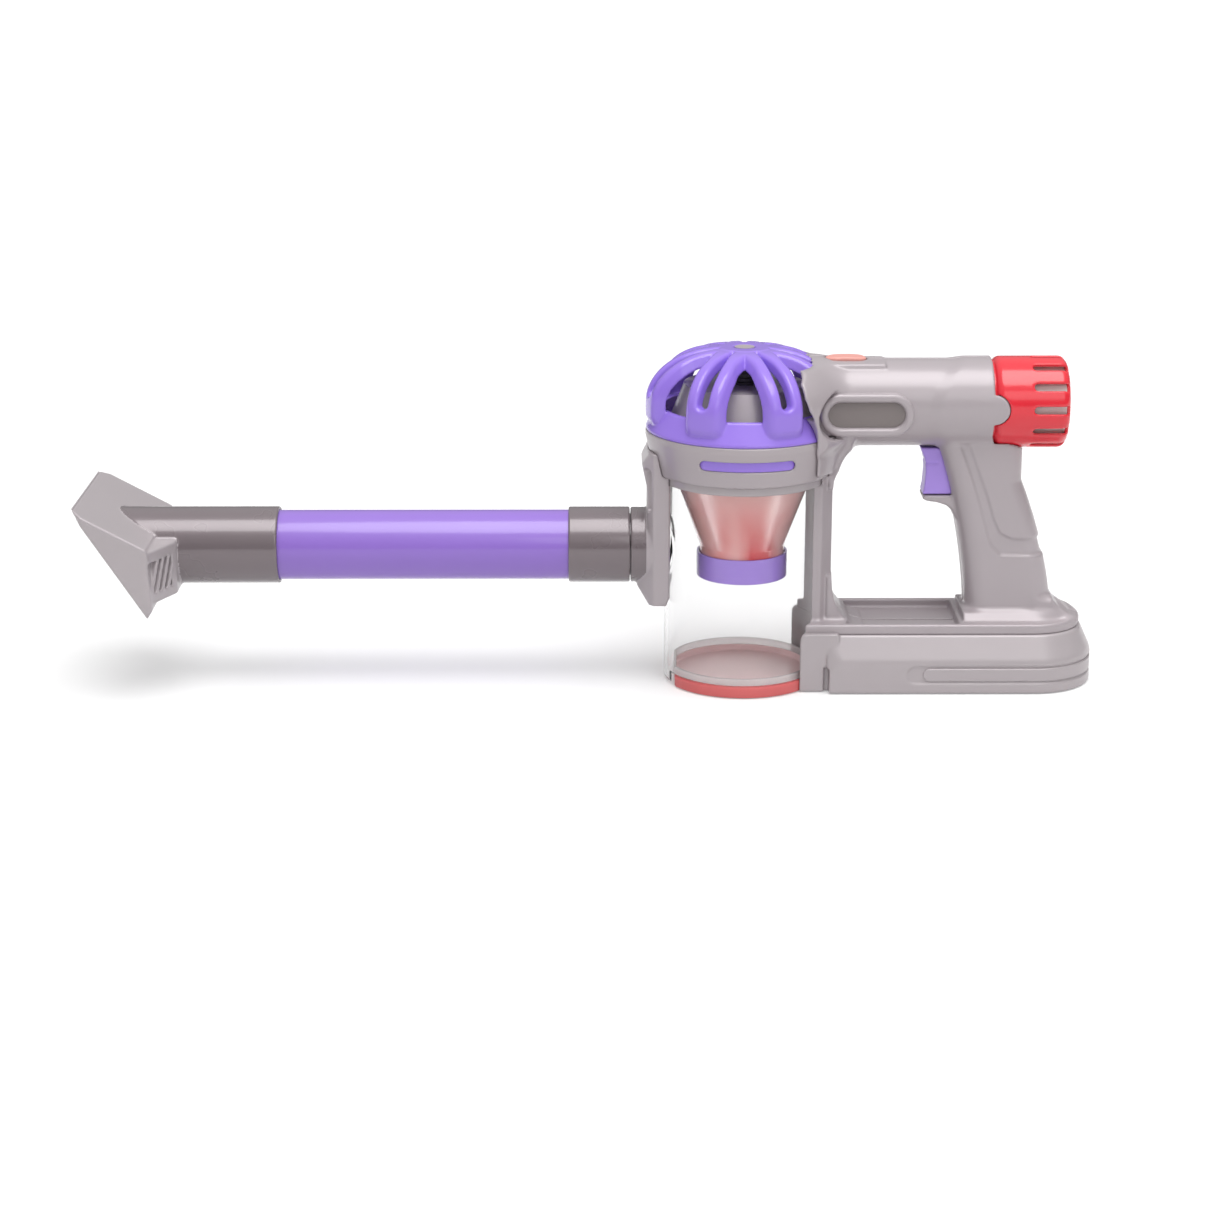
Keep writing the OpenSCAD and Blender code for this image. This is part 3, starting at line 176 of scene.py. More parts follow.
def surface(field):
    """Quads round the zero level of a field, in grid steps, with a point in each cell that it crosses."""
    inside = field < 0
    shape = np.array(field.shape)
    near = np.zeros(shape - 1, bool)
    far = np.ones(shape - 1, bool)
    corners = [(a, b, d) for a in (0, 1) for b in (0, 1) for d in (0, 1)]
    for a, b, d in corners:
        part = inside[a:shape[0] - 1 + a, b:shape[1] - 1 + b, d:shape[2] - 1 + d]
        near |= part
        far &= part
    cells = np.argwhere(near & ~far)
    number = np.full(shape - 1, -1, np.int32)
    number[tuple(cells.T)] = np.arange(len(cells))
    values = {q: field[tuple((cells + q).T)] for q in corners}
    total = np.zeros((len(cells), 3))
    hits = np.zeros(len(cells))
    for q in corners:
        for n in range(3):
            if q[n]:
                continue
            end = tuple(1 if m == n else q[m] for m in range(3))
            a, b = values[q], values[end]
            crossed = (a < 0) != (b < 0)
            t = np.where(crossed, a / np.where(crossed, a - b, 1), 0)
            point = np.tile(np.array(q, float), (len(cells), 1))
            point[:, n] = t
            total += point * crossed[:, None]
            hits += crossed
    points = cells + total / hits[:, None]
    quads = []
    for n in range(3):
        m, o = (n + 1) % 3, (n + 2) % 3
        step = np.eye(3, dtype=int)
        lower = [slice(None)] * 3
        upper = [slice(None)] * 3
        lower[n], upper[n] = slice(0, -1), slice(1, None)
        a, b = inside[tuple(lower)], inside[tuple(upper)]
        for edges, flip in ((np.argwhere(a & ~b), False), (np.argwhere(~a & b), True)):
            edges = edges[(edges[:, m] > 0) & (edges[:, o] > 0)]
            ring = [edges - step[m] - step[o], edges - step[o], edges, edges - step[m]]
            face = np.stack([number[tuple(r.T)] for r in ring], 1)
            quads.append(face[:, ::-1] if flip else face)
    return points, np.concatenate(quads)


def settle(field, points, quads, rounds=3):
    """Evens out the points of a surface and draws each back on to the zero level."""
    pairs = np.concatenate([quads[:, [0, 1]], quads[:, [1, 2]], quads[:, [2, 3]], quads[:, [3, 0]]])
    ends = np.concatenate([pairs, pairs[:, ::-1]])
    count = np.bincount(ends[:, 0], minlength=len(points))[:, None]
    for _ in range(rounds):
        mean = np.stack([np.bincount(ends[:, 0], points[ends[:, 1], n], len(points)) for n in range(3)], 1)
        points = points + 0.5 * (mean / count - points)
        for _ in range(2):
            value, slope = corner_samples(field, points)
            move = slope * (value / np.maximum((slope ** 2).sum(1), 1e-6))[:, None]
            points = points - np.clip(move, -0.6, 0.6)
    return points


def mesh_object(name, points, faces):
    """Object of points in millimetres and faces of one size, shaded smooth."""
    size = faces.shape[1]
    mesh = bpy.data.meshes.new(name)
    mesh.vertices.add(len(points))
    mesh.vertices.foreach_set("co", (points * MM).astype(np.float32).ravel())
    mesh.loops.add(faces.size)
    mesh.loops.foreach_set("vertex_index", faces.astype(np.int32).ravel())
    mesh.polygons.add(len(faces))
    mesh.polygons.foreach_set("loop_start", np.arange(0, faces.size, size, dtype=np.int32))
    mesh.polygons.foreach_set("use_smooth", np.ones(len(faces), bool))
    mesh.update(calc_edges=True)
    mesh.validate()
    obj = bpy.data.objects.new(name, mesh)
    bpy.context.collection.objects.link(obj)
    return obj


def moulded(name, grid, field, rounds=3):
    """Object made of a solid that is drawn on a grid."""
    field = np.broadcast_to(field, grid.shape).astype(np.float32) / grid.step
    points, quads = surface(field)
    points = settle(field, points, quads, rounds)
    return mesh_object(name, points * grid.step + grid.low, quads)


def lathe(name, profile, axis, centre, segments=160):
    """Object turned from a closed outline of (radius, height) points round Z or X through a centre."""
    profile = np.array(profile, float)
    count = len(profile)
    angle = np.arange(segments) * TURN / segments
    r, h = profile[:, 0][None, :], profile[:, 1][None, :]
    c, s = np.cos(angle)[:, None], np.sin(angle)[:, None]
    flat = np.zeros_like(c)
    rows = [r * c, r * s, h + flat] if axis == "z" else [h + flat, r * c, r * s]
    points = np.stack(rows, -1).reshape(-1, 3) + np.array(centre, float)
    i, j = np.meshgrid(np.arange(segments), np.arange(count), indexing="ij")
    ni, nj = (i + 1) % segments, (j + 1) % count
    quads = np.stack([i * count + j, ni * count + j, ni * count + nj, i * count + nj], -1).reshape(-1, 4)
    return mesh_object(name, points, quads)


def rounded(points, radii, steps=4):
    """Closed outline with its corners rounded, as (radius, height) points."""
    points = [Vector(p) for p in points]
    outline = []
    for i, p in enumerate(points):
        r = radii[i] if isinstance(radii, (list, tuple)) else radii
        a, b = points[i - 1] - p, points[(i + 1) % len(points)] - p
        reach = min(r, 0.45 * a.length, 0.45 * b.length)
        if reach < 1e-4:
            outline.append(tuple(p))
            continue
        start, end = p + a.normalized() * reach, p + b.normalized() * reach
        outline += [tuple(bow(start, p, end, t / steps)) for t in range(steps + 1)]
    return outline


# Materials

def srgb(r, g, b):
    """Colour as it is seen, from 0 to 255, as linear values."""
    def linear(v):
        v /= 255
        return v / 12.92 if v <= 0.04045 else ((v + 0.055) / 1.055) ** 2.4
    return (linear(r), linear(g), linear(b), 1.0)


class Shader:
    """Short forms for making a node material."""

    def __init__(self, name):
        self.material = bpy.data.materials.new(name)
        self.material.use_nodes = True
        self.tree = self.material.node_tree
        self.bsdf = self.tree.nodes["Principled BSDF"]
        self.place = self.node("ShaderNodeTexCoord").outputs["Object"]

    def node(self, kind, **settings):
        made = self.tree.nodes.new(kind)
        for key, value in settings.items():
            setattr(made, key, value)
        return made

    def link(self, a, b):
        self.tree.links.new(a, b)

    def noise(self, per_metre, detail=3.0, rough=0.55):
        made = self.node("ShaderNodeTexNoise")
        self.link(self.place, made.inputs["Vector"])
        made.inputs["Scale"].default_value = per_metre
        made.inputs["Detail"].default_value = detail
        made.inputs["Roughness"].default_value = rough
        return made.outputs["Fac"]

    def drawn_noise(self, scale, per_metre, detail=3.0, rough=0.55):
        """Noise drawn out along the axes with a small scale."""
        stretch = self.node("ShaderNodeMapping")
        stretch.inputs["Scale"].default_value = scale
        self.link(self.place, stretch.inputs["Vector"])
        made = self.noise(per_metre, detail, rough)
        self.link(stretch.outputs["Vector"], made.node.inputs["Vector"])
        return made

    def spread(self, value, low, high, start=0.0, end=1.0):
        made = self.node("ShaderNodeMapRange")
        made.inputs["From Min"].default_value = low
        made.inputs["From Max"].default_value = high
        made.inputs["To Min"].default_value = start
        made.inputs["To Max"].default_value = end
        self.link(value, made.inputs["Value"])
        return made.outputs["Result"]

    def mix(self, share, a, b):
        made = self.node("ShaderNodeMix", data_type="RGBA")
        self.link(share, made.inputs["Factor"])
        for value, plug in ((a, made.inputs["A"]), (b, made.inputs["B"])):
            if isinstance(value, tuple):
                plug.default_value = value
            else:
                self.link(value, plug)
        return made.outputs["Result"]

    def bump(self, height, strength, depth):
        made = self.node("ShaderNodeBump")
        made.inputs["Strength"].default_value = strength
        made.inputs["Distance"].default_value = depth
        self.link(height, made.inputs["Height"])
        self.link(made.outputs["Normal"], self.bsdf.inputs["Normal"])

    def set(self, **values):
        for key, value in values.items():
            self.bsdf.inputs[key.replace("_", " ")].default_value = value


def scaled(colour, share):
    """Colour made darker or lighter."""
    return tuple(min(1.0, c * share) for c in colour[:3]) + (1.0,)


def plastic(name, colour, rough, grain=0.05, worn=0.35, coat=0.0, metallic=0.0):
    """Moulded plastic: faintly cloudy colour, pale worn edges, uneven gloss and, if given, a grain."""
    s = Shader(name)
    cloud = s.spread(s.noise(26, 4), 0.2, 0.8)
    tone = s.mix(cloud, scaled(colour, 0.98), scaled(colour, 1.02))
    sharp = s.node("ShaderNodeNewGeometry").outputs["Pointiness"]
    edge = s.spread(sharp, 0.53, 0.66, 0.0, worn)
    s.link(s.mix(edge, tone, scaled(colour, 1.3)), s.bsdf.inputs["Base Color"])
    s.link(s.spread(s.noise(45, 2), 0.2, 0.8, rough - 0.02, rough + 0.02), s.bsdf.inputs["Roughness"])
    if grain:
        s.bump(s.noise(640, 2), grain, 0.0002)
    s.set(Metallic=metallic, Coat_Weight=coat, Coat_Roughness=0.12, IOR=1.48)
    return s.material


def clear_plastic(name, colour, rough, weight, ior):
    """See-through moulded plastic, a little wavy, with hazy patches."""
    s = Shader(name)
    haze = s.spread(s.noise(40, 4), 0.35, 0.75)
    s.link(s.mix(haze, scaled(colour, 0.98), colour), s.bsdf.inputs["Base Color"])
    s.link(s.spread(s.noise(90, 3), 0.3, 0.7, rough, rough + 0.06), s.bsdf.inputs["Roughness"])
    s.bump(s.noise(220, 2), 0.03, 0.0003)
    s.set(Transmission_Weight=weight, IOR=ior, Specular_IOR_Level=0.5)
    return s.material


def streaked(name, colour, deep):
    """Tinted see-through plastic, deeper in upright streaks towards its narrow end."""
    s = Shader(name)
    streak = s.drawn_noise((1.0, 1.0, 0.25), 55, 1, 0.4)
    parts = s.node("ShaderNodeSeparateXYZ")
    s.link(s.place, parts.inputs[0])
    low = s.spread(parts.outputs["Z"], 0.112, 0.074, 0.0, 1.0)
    share = s.node("ShaderNodeMath", operation="MULTIPLY")
    s.link(s.spread(streak, 0.42, 0.62, 0.12, 1.0), share.inputs[0])
    s.link(low, share.inputs[1])
    s.link(s.mix(share.outputs[0], colour, deep), s.bsdf.inputs["Base Color"])
    s.link(s.spread(s.noise(90, 3), 0.3, 0.7, 0.14, 0.22), s.bsdf.inputs["Roughness"])
    s.bump(s.noise(220, 2), 0.03, 0.0003)
    s.set(Transmission_Weight=0.3, IOR=1.4, Coat_Weight=0.4, Coat_Roughness=0.08)
    return s.material


def metal(name, colour, rough):
    """Drawn or plated metal with fine scratches along it."""
    s = Shader(name)
    grain = s.drawn_noise((1.0, 12.0, 12.0), 350, 3)
    s.link(s.mix(grain, scaled(colour, 0.85), scaled(colour, 1.1)), s.bsdf.inputs["Base Color"])
    s.link(s.spread(grain, 0.3, 0.7, rough - 0.08, rough + 0.12), s.bsdf.inputs["Roughness"])
    s.bump(grain, 0.08, 0.0001)
    s.set(Metallic=1.0)
    return s.material


GREY = srgb(176, 167, 171)
DARK = srgb(116, 105, 109)
PALE = srgb(180, 172, 175)
PURPLE = srgb(154, 122, 228)
RED = srgb(230, 40, 56)

grey = plastic("grey_plastic", GREY, 0.38, 0.03, coat=0.3, metallic=0.15)
pale_grey = plastic("pale_grey_plastic", PALE, 0.38, 0.03, coat=0.3, metallic=0.15)
dark_grey = plastic("dark_grey_plastic", DARK, 0.28, 0.0, coat=0.8, metallic=0.2)
purple = plastic("purple_plastic", PURPLE, 0.24, 0.0, coat=0.35)
tube_purple = plastic("tube_purple", srgb(146, 110, 206), 0.34, 0.0, 0.0, coat=0.6)
trigger_purple = plastic("trigger_purple", srgb(176, 146, 234), 0.34)
red = plastic("red_plastic", RED, 0.2, coat=0.4)
pink = plastic("pink_plastic", srgb(238, 168, 158), 0.34)
lid_red = clear_plastic("lid_red", srgb(246, 122, 122), 0.12, 0.25, 1.4)
lid_floor = clear_plastic("lid_floor", srgb(252, 222, 222), 0.2, 0.15, 1.4)
plug_clear = clear_plastic("plug_clear", srgb(250, 246, 246), 0.1, 0.6, 1.3)
shroud_red = streaked("shroud_red", srgb(252, 196, 192), srgb(226, 74, 80))
# Shroud ring: purple painted paler and greyer, a painted veil of light from the clear bin in front of it
ring_purple_painted_haze = plastic("ring_purple_painted_haze", srgb(160, 130, 218), 0.26, coat=0.25)
bin_clear = clear_plastic("clear_plastic", srgb(251, 251, 251), 0.03, 1.0, 1.2)
black = plastic("black_plastic", srgb(66, 62, 66), 0.42)
white = plastic("white_plastic", srgb(226, 224, 222), 0.5, grain=0.2)
badge_grey = plastic("badge_grey", srgb(126, 117, 116), 0.34, coat=0.2)
steel = metal("steel", srgb(186, 186, 190), 0.3)
contact = metal("contact_metal", srgb(206, 200, 186), 0.28)
board = plastic("board_green", srgb(34, 84, 58), 0.5)
cell = plastic("cell_sleeve", srgb(60, 62, 70), 0.32, coat=0.2)

# Finish of each node's own mesh
NODE_MATERIALS = {
    "bin_lid": lid_red, "lid_hinge_pin": steel, "clear_bin": bin_clear, "bin_collar": pale_grey,
    "cyclone_ring": grey, "ring_slot_insert": purple, "cyclone_cover": purple, "cover_hub_cap": pale_grey,
    "motor_housing": grey, "ribbed_column": black, "drive_motor": steel, "motor_shaft": steel,
    "fan_wheel": black, "shroud_cone": shroud_red, "shroud_ring": purple, "inlet_bracket": grey,
    "inlet_spigot": dark_grey, "wand_cuff": dark_grey, "wand_tube": tube_purple, "head_shell": pale_grey,
    "head_sole": dark_grey, "body_near": grey, "body_far": grey, "body_screws": steel, "rear_cap": red,
    "filter_core": white, "trigger": trigger_purple, "trigger_spring": steel, "trigger_switch": black,
    "top_button": pink, "button_spring": steel, "button_switch": black, "circuit_board": board,
    "badge_bezel": grey, "badge_plate": badge_grey, "base_shell": pale_grey, "base_trim": pale_grey,
    "base_cover": dark_grey, "cover_screws": steel, "battery_door": dark_grey, "door_screw": steel,
    "battery_tray": black, "battery_1": cell, "battery_2": cell, "battery_3": cell,
    "front_contacts": contact, "rear_contacts": contact,
}
for node, material in NODE_MATERIALS.items():
    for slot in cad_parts[node].material_slots:
        slot.material = material


def dress(obj, body, material, *nodes):
    """A finished piece: its material, the body it rides on and the nodes that it stands for."""
    obj.data.materials.append(material)
    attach(obj, body)
    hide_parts(*nodes)
    return obj


def second_finish(obj, material, chosen):
    """Another material on the faces whose centres, in millimetres, the function chooses."""
    obj.data.materials.append(material)
    centre = np.zeros(len(obj.data.polygons) * 3, np.float32)
    obj.data.polygons.foreach_get("center", centre)
    x, y, z = (centre.reshape(-1, 3) / MM).T
    obj.data.polygons.foreach_set("material_index", chosen(x, y, z).astype(np.int32))
    return obj


def turned(name, outline, radii, body, material, node, axis="z"):
    """Lathe piece with rounded edges, round the bin's axis or, for X, the wand's."""
    centre = (0, 0, 0) if axis == "z" else (0, 0, WAND_Z)
    return dress(lathe(name, rounded(outline, radii), axis, centre), body, material, node)


# Tower: space that the bin, ring and cover take up, which the body and the bracket go round

TOWER = [
    (0, BIN_R), (COLLAR_Z, BIN_R), (COLLAR_Z + 0.1, COLLAR_R), (RING_Z - 0.1, COLLAR_R),
    (RING_Z, RING_LOW_R), (RING_TOP, RING_R), (RING_TOP + 1.5, RING_R), (DOME_SILL, DOME_SLOPE_R),
    (DOME_SILL + 0.2, RING_R), (RING_TOP + DOME_BAND, RING_R), (165.0, 52.9), (170.0, 50.6),
    (176.4, 45.4), (182.0, 36.0), (187.6, 16.0), (190.0, 12.0),
]


def tower(g, gap):
    """Distance to the tower with a gap round it."""
    profile = np.interp(g.z, [p[0] for p in TOWER], [p[1] for p in TOWER]).astype(np.float32)
    return np.hypot(g.x, g.y) - profile - gap


# Cover's outer curve and ribs

WINDOWS, PATTERN_TURN = 7, math.radians(-92.4)
RIB_OUT = ([20, 26, 32, 38, 46, 54], [9.5, 9.0, 8.6, 9.6, 9.6, 9.2])
RIB_IN = ([18, 30, 40, 54], [0.4, 2.3, 3.1, 3.4])
RIB_FOOT = 150.0
CROWN_R, CROWN_H, RIB_DEPTH = 12.7, 29.2, 6.5


def dome(r, z, depth):
    """Distance to the cover's outer curve: upright, then a quarter of an ellipse, drawn in by a depth."""
    a, b = RING_R - CROWN_R - depth, CROWN_H - depth
    u, v = np.maximum(r - CROWN_R, 1e-3), np.maximum(z - RING_TOP - DOME_BAND, 0)
    k0 = np.hypot(u / a, v / b)
    return k0 * (k0 - 1) / np.hypot(u / a ** 2, v / b ** 2)


# Body halves: barrel, collar, strut, grip and foot

def grip_front(z):
    """X of the grip's front edge at a height."""
    return bow(106.0, 122.25, 124.5, (134.3 - z) / 96.8)


def grip_rear(z):
    """X of the grip's rear edge at a height."""
    t = np.clip((115.0 - z) / 77.5, 0, None)
    return np.where(z > 115, 153.0, bow(153.0, 169.0, 172.5, t))


PANEL_INNER = [(122.5, 137), (127.1, 124.5), (133.8, 106.5), (137.6, 94), (141.2, 86.6), (147.9, 83.2)]
PANEL_OUTER = [(117.5, 137), (125.3, 116.1), (131.5, 95.7), (135.9, 80.9), (141.7, 74.1)]


def grip_field(g):
    """Grip with a shallow sunk band round its panel."""
    front, rear = grip_front(g.z), grip_rear(g.z)
    a = np.abs(g.x - (front + rear) / 2) - (rear - front) / 2 + GRIP_ROUND
    b = np.abs(g.y) - GRIP_W / 2 + GRIP_ROUND
    d = np.hypot(np.maximum(a, 0), np.maximum(b, 0)) + np.minimum(np.maximum(a, b), 0) - GRIP_ROUND
    d = np.maximum(d, span(g.z, 36.0, 150.0))
    inner = polygon(g.x, g.z, PANEL_INNER + [(190, 83.2), (190, 137)])
    outer = polygon(g.x, g.z, PANEL_OUTER + [(190, 73.0), (190, 137)])
    recess = np.clip(0.5 - outer / 1.1, 0, 1) * np.clip(0.5 + inner / 0.8, 0, 1)
    return d + 1.2 * recess


def barrel_field(g):
    """Barrel with its cheeks on the cover, the button's pad and the cap's tabs."""
    height = g.z - 152.0
    shoulder = 101.5 + np.where(height > 0, 0.0165, 0.03) * height ** 2
    grow = (REAR_R - BARREL_R) * ease((g.x - shoulder + 4.5) / 9)
    round_d = np.hypot(g.y, g.z - BARREL_Z)
    barrel = slab(round_d - BARREL_R - grow, span(g.x, 30.0, BARREL_END), 0.7)
    turn = np.radians(np.interp(g.z, [143, 150, 161, 168, 175, 180], [42, 45, 53, 55, 54, 46]))
    edge = (np.abs(np.arctan2(g.y, g.x)) - turn) * np.hypot(g.x, g.y)
    cheek = slab(dome(np.hypot(g.x, g.y), g.z, 0) - 2.0, np.maximum(edge, span(g.z, 140.0, 180.3)), 1.0)
    pad = np.maximum(g.z - 181.5 + 0.0085 * g.y ** 2, 168.0 - g.z)
    pad = slab(pad, np.maximum(np.abs(g.y) - 12.3, g.x - 76.5), 1.0)
    tab = np.maximum(np.hypot(g.x - BARREL_END, g.z - BARREL_Z) - 8.2, np.abs(round_d - 24.1) - 1.0)
    return join(join(join(barrel, cheek, 9.0), pad, 1.0), tab, 0.3)


def strut_field(g):
    """Upright behind the bin, with webs that curve into the base and the barrel."""
    plan = [
        (29, 0), (29, STRUT_HALF), (38.2, STRUT_HALF), (39.4, 21.0), (42.4, 20.6), (STRUT_X, 14),
        (STRUT_X, 0),
    ]
    post = slab(polygon(g.x, np.abs(g.y), plan), span(g.z, 30.0, 131.0), 0.8)
    t = np.linspace(0, 1, 7)
    low = [(bow(STRUT_X, STRUT_X, 66.0, s), bow(63.5, 38.5, 33.0, s)) for s in t]
    high = [(bow(STRUT_X, STRUT_X, 57.5, s), bow(112.0, 126.0, 134.5, s)) for s in t]
    low += [(46, 31), (46, 63.5)]
    high += [(57, 143), (46, 143), (46, 112)]
    web = np.minimum(polygon(g.x, g.z, low), polygon(g.x, g.z, high))
    return join(post, slab(web, np.abs(g.y) - 19.0, 1.2), 1.5)


def foot_field(g):
    """Plate on the base, with a trough in front of the grip and a mound round it."""
    plan = np.where(g.x < REAR_CX, np.abs(g.y), np.hypot(g.x - REAR_CX, g.y)) - FOOT_HALF
    plan = np.maximum(plan, 29.0 - g.x)
    foot = slab(plan, span(g.z, 30.0, FOOT_TOP), 1.3)
    trough = block(g, (57.0, 119.5), (-24, 24), (BASE_H + 0.6, 60), 1.5)
    mound = slab(plan + 5.0 + 0.9 * np.maximum(g.z - FOOT_TOP, 0), span(g.z, 34.0, FOOT_TOP + 5), 1.5)
    mound = np.maximum(mound, 122.0 - g.x)
    heel = [(160, 36), (186, 36), (176, 43.5), (171.5, 49), (160, 49)]
    heel = slab(polygon(g.x, g.z, heel), np.abs(g.y) - GRIP_W / 2, 3.0)
    return join(join(cut(foot, trough, 0.8), mound, 1.5), heel, 5.0)


def body_field(g):
    wall, badge_room = 2.6, 2.6
    ring_r, barrel_r = np.hypot(g.x, g.y), np.hypot(g.y, g.z - BARREL_Z)
    skin = ring_r - RING_R - 2.4 - 0.2 * np.minimum(g.z - RING_TOP, 0)
    collar = both(slab(skin, span(g.z, 122.0, 152.0), 2.0), NOSE_X - g.x, 2.0)
    d = join(barrel_field(g), collar, 8.0)
    # Badge's pocket, strut, grip with its trigger guard, and foot
    badge = stadium(g.x - BADGE_X, g.z - BADGE_Z, BADGE_L + badge_room, BADGE_W + badge_room)
    d = cut(d, np.maximum(badge, g.y + 24.4), 0.6)
    d = join(d, strut_field(g), 7.0)
    guard = [
        (99, 106.3), (98.8, 104.4), (100.6, 103.2), (107, 102.2), (112, 100.5), (115, 97.8), (117, 94),
        (126, 90), (126, 106.3),
    ]
    grip = join(grip_field(g), slab(polygon(g.x, g.z, guard), np.abs(g.y) - 9.0, 1.4), 2.5)
    cap = np.maximum(barrel_r - REAR_R - 0.3, BARREL_END - g.x)
    d = join(d, cut(grip, cap), 3.0)
    d = join(d, foot_field(g), 4.0)
    # Hollow inside, with the rear cap's seat
    hollow = np.maximum(barrel_r - 21.6, -tower(g, wall))
    hollow = np.minimum(hollow, np.maximum(grip + wall, span(g.z, 40.0, 138.0)))
    hollow = np.maximum(hollow, -cut(-cap - wall, barrel_r - CAP_SEAT_R))
    hollow = np.maximum(hollow, -(d + 2.2))
    d = cut(cut(d, hollow), np.maximum(barrel_r - CAP_SEAT_R, 128.0 - g.x), 0.3)
    # Room for the tower, trigger, button and button's stem
    room = tower(g, 0.35)
    d = cut(d, np.where(g.z > RING_TOP + 0.4, np.maximum(room, g.x - NOSE_X), room), 0.6)
    d = cut(d, block(g, (90, 125.4), (-7.95, 7.95), (106.25, 133.1), 0.3), 0.3)
    d = cut(d, np.maximum(stadium(g.x - BUTTON_X, g.y, 23.3, 11.9), 177.9 - g.z), 0.4)
    return cut(d, np.maximum(np.hypot(g.x - STEM_X, g.y) - 3.5, 166.0 - g.z))


SCREWS = [
    (BARREL_END - 11.5, BARREL_Z + REAR_R * 0.6, REAR_R * 0.8 - 1),
    (93.6, BARREL_Z - BARREL_R * 0.6, BARREL_R * 0.8 - 1),
] + [((grip_front(z) + grip_rear(z)) / 2, z, GRIP_W / 2 - 1) for z in (95.58, 61.7)]


def body_half(name, node, side):
    """Near or far half of the body, split in the middle. The far half has the screw holes."""
    low, high = (-46, -0.1) if side < 0 else (0.1, 46)
    g = Grid((26, low, 31.5), (190, high, 183.5), 0.85)
    d = both(body_field(g), np.maximum(low - g.y, g.y - high), 0.5)
    d = np.maximum(d, BASE_H + 0.05 - g.z)
    if side > 0:
        for x, z, half in SCREWS:
            d = cut(d, np.maximum(np.hypot(g.x - x, g.z - z) - 2.9, half - 3.1 - g.y), 0.3)
    return dress(moulded(name, g, d), "body", grey, node)


body_half("body_half_near", "body_near", -1)
body_half("body_half_far", "body_far", 1)


# Cyclone cover: seven rib pairs on a sloping band, round a flat hub

def cover():
    g = Grid((-54.2, -54.2, 142.8), (54.2, 54.2, 188.2), 0.72)
    r, angle = np.hypot(g.x, g.y), np.arctan2(g.y, g.x)
    step = TURN / WINDOWS
    side = np.abs(r * ((angle - PATTERN_TURN) % step - step / 2))
    crust = dome(r, g.z, 0)
    depth = np.clip(-crust, 0, RIB_DEPTH)
    wide = np.interp(r, *RIB_OUT) + 0.42 * depth
    narrow = np.maximum(np.interp(r, *RIB_IN) - 0.16 * depth, 0.3)
    foot = slab(side - wide, RIB_FOOT - g.z - depth, 4)
    slot = np.hypot(side, np.maximum(RING_TOP + 19.5 + narrow - g.z, 0)) - narrow
    plan = np.maximum(foot, -slot)
    ribs = slab(np.maximum(crust, -dome(r, g.z, RIB_DEPTH)), plan, 0.8)
    ribs = both(ribs, (crust + plan + 1.2) * math.sqrt(0.5), 0.5)
    band = polygon(r, g.z, [
        (50.2, RING_TOP), (53.7, RING_TOP), (53.7, RING_TOP + 1.5), (DOME_SLOPE_R, DOME_SILL),
        (43.8, DOME_SILL),
    ])
    hub = slab(r - 14.0, span(g.z, 180.6, DOME_TOP), 1.2)
    d = join(join(ribs, band, 0.8), hub, 1.5)
    d = cut(d, np.maximum(NOSE_X - 0.3 - g.x, np.abs(angle) - math.radians(43.5)), 0.3)
    d = cut(d, slab(r - 5.7, 186.5 - g.z, 0.2), 0.4)
    d = np.maximum(d, g.z - DOME_TOP)
    return dress(moulded("cyclone_cover_ribbed", g, d), "body", purple, "cyclone_cover")


cover()


# Ring with its front slot, and the collar under it

def cyclone_ring():
    g = Grid((-54.2, -54.2, RING_Z), (54.2, 54.2, RING_TOP), 0.8)
    r = np.hypot(g.x, g.y)
    d = polygon(r, g.z, [
        (41.5, RING_Z), (RING_LOW_R, RING_Z), (RING_LOW_R + 0.9, RING_Z + 4.5),
        (RING_R - 0.1, RING_TOP - 3.5), (RING_R - 0.1, RING_TOP), (36.0, RING_TOP), (36.0, RING_TOP - 3),
        (51.5, RING_TOP - 3), (47.0, RING_Z + 2), (41.5, RING_Z + 2),
    ])
    slot = np.maximum(stadium(g.x, g.z - 132.2, 51.0, 5.6), g.y)
    d = cut(d, slab(slot, 47.8 - r, 0.2), 0.7)
    return dress(moulded("cyclone_ring_slotted", g, d), "body", grey, "cyclone_ring")


cyclone_ring()
collar_outline = [(43.2, COLLAR_Z), (COLLAR_R, COLLAR_Z), (COLLAR_R, RING_Z), (43.2, RING_Z)]
turned("bin_collar_rounded", collar_outline, [0.5, 1.8, 0.9, 0.3], "body", pale_grey, "bin_collar")


# Shroud in the bin: see-through cone with stepped rim, and the ring round its lower end

shroud_outline = [
    (38.4, 118.2), (38.4, 116.8), (37.6, 116.2), (23.5, 77.5), (23.5, 59.4), (21.9, 59.4), (21.9, 77.2),
    (36.0, 115.8), (36.0, 118.2),
]
turned("shroud_cone_turned", shroud_outline, 0.6, "body", shroud_red, "shroud_cone")
shroud_ring_outline = [(23.7, 59.8), (25.1, 59.8), (25.1, 73.6), (23.7, 73.6)]
turned("shroud_ring_turned", shroud_ring_outline, 0.4, "body", ring_purple_painted_haze, "shroud_ring")


# Wand: tube and cuff with eased edges

tube_outline = [(17.0, -265.8), (TUBE_R, -265.8), (TUBE_R, -86.5), (17.0, -86.5)]
turned("wand_tube_turned", tube_outline, 0.5, "wand", tube_purple, "wand_tube", "x")
cuff_outline = [
    (17.5, WAND_X), (CUFF_R - 0.3, WAND_X), (CUFF_R, WAND_X - 0.8), (CUFF_R, CUFF_X + 0.8),
    (CUFF_R - 0.4, CUFF_X), (19.5, CUFF_X), (19.5, CUFF_X + 10), (17.5, CUFF_X + 10),
]
turned("wand_cuff_turned", cuff_outline, 0.3, "wand", dark_grey, "wand_cuff", "x")


# Inlet bracket in front of the bin

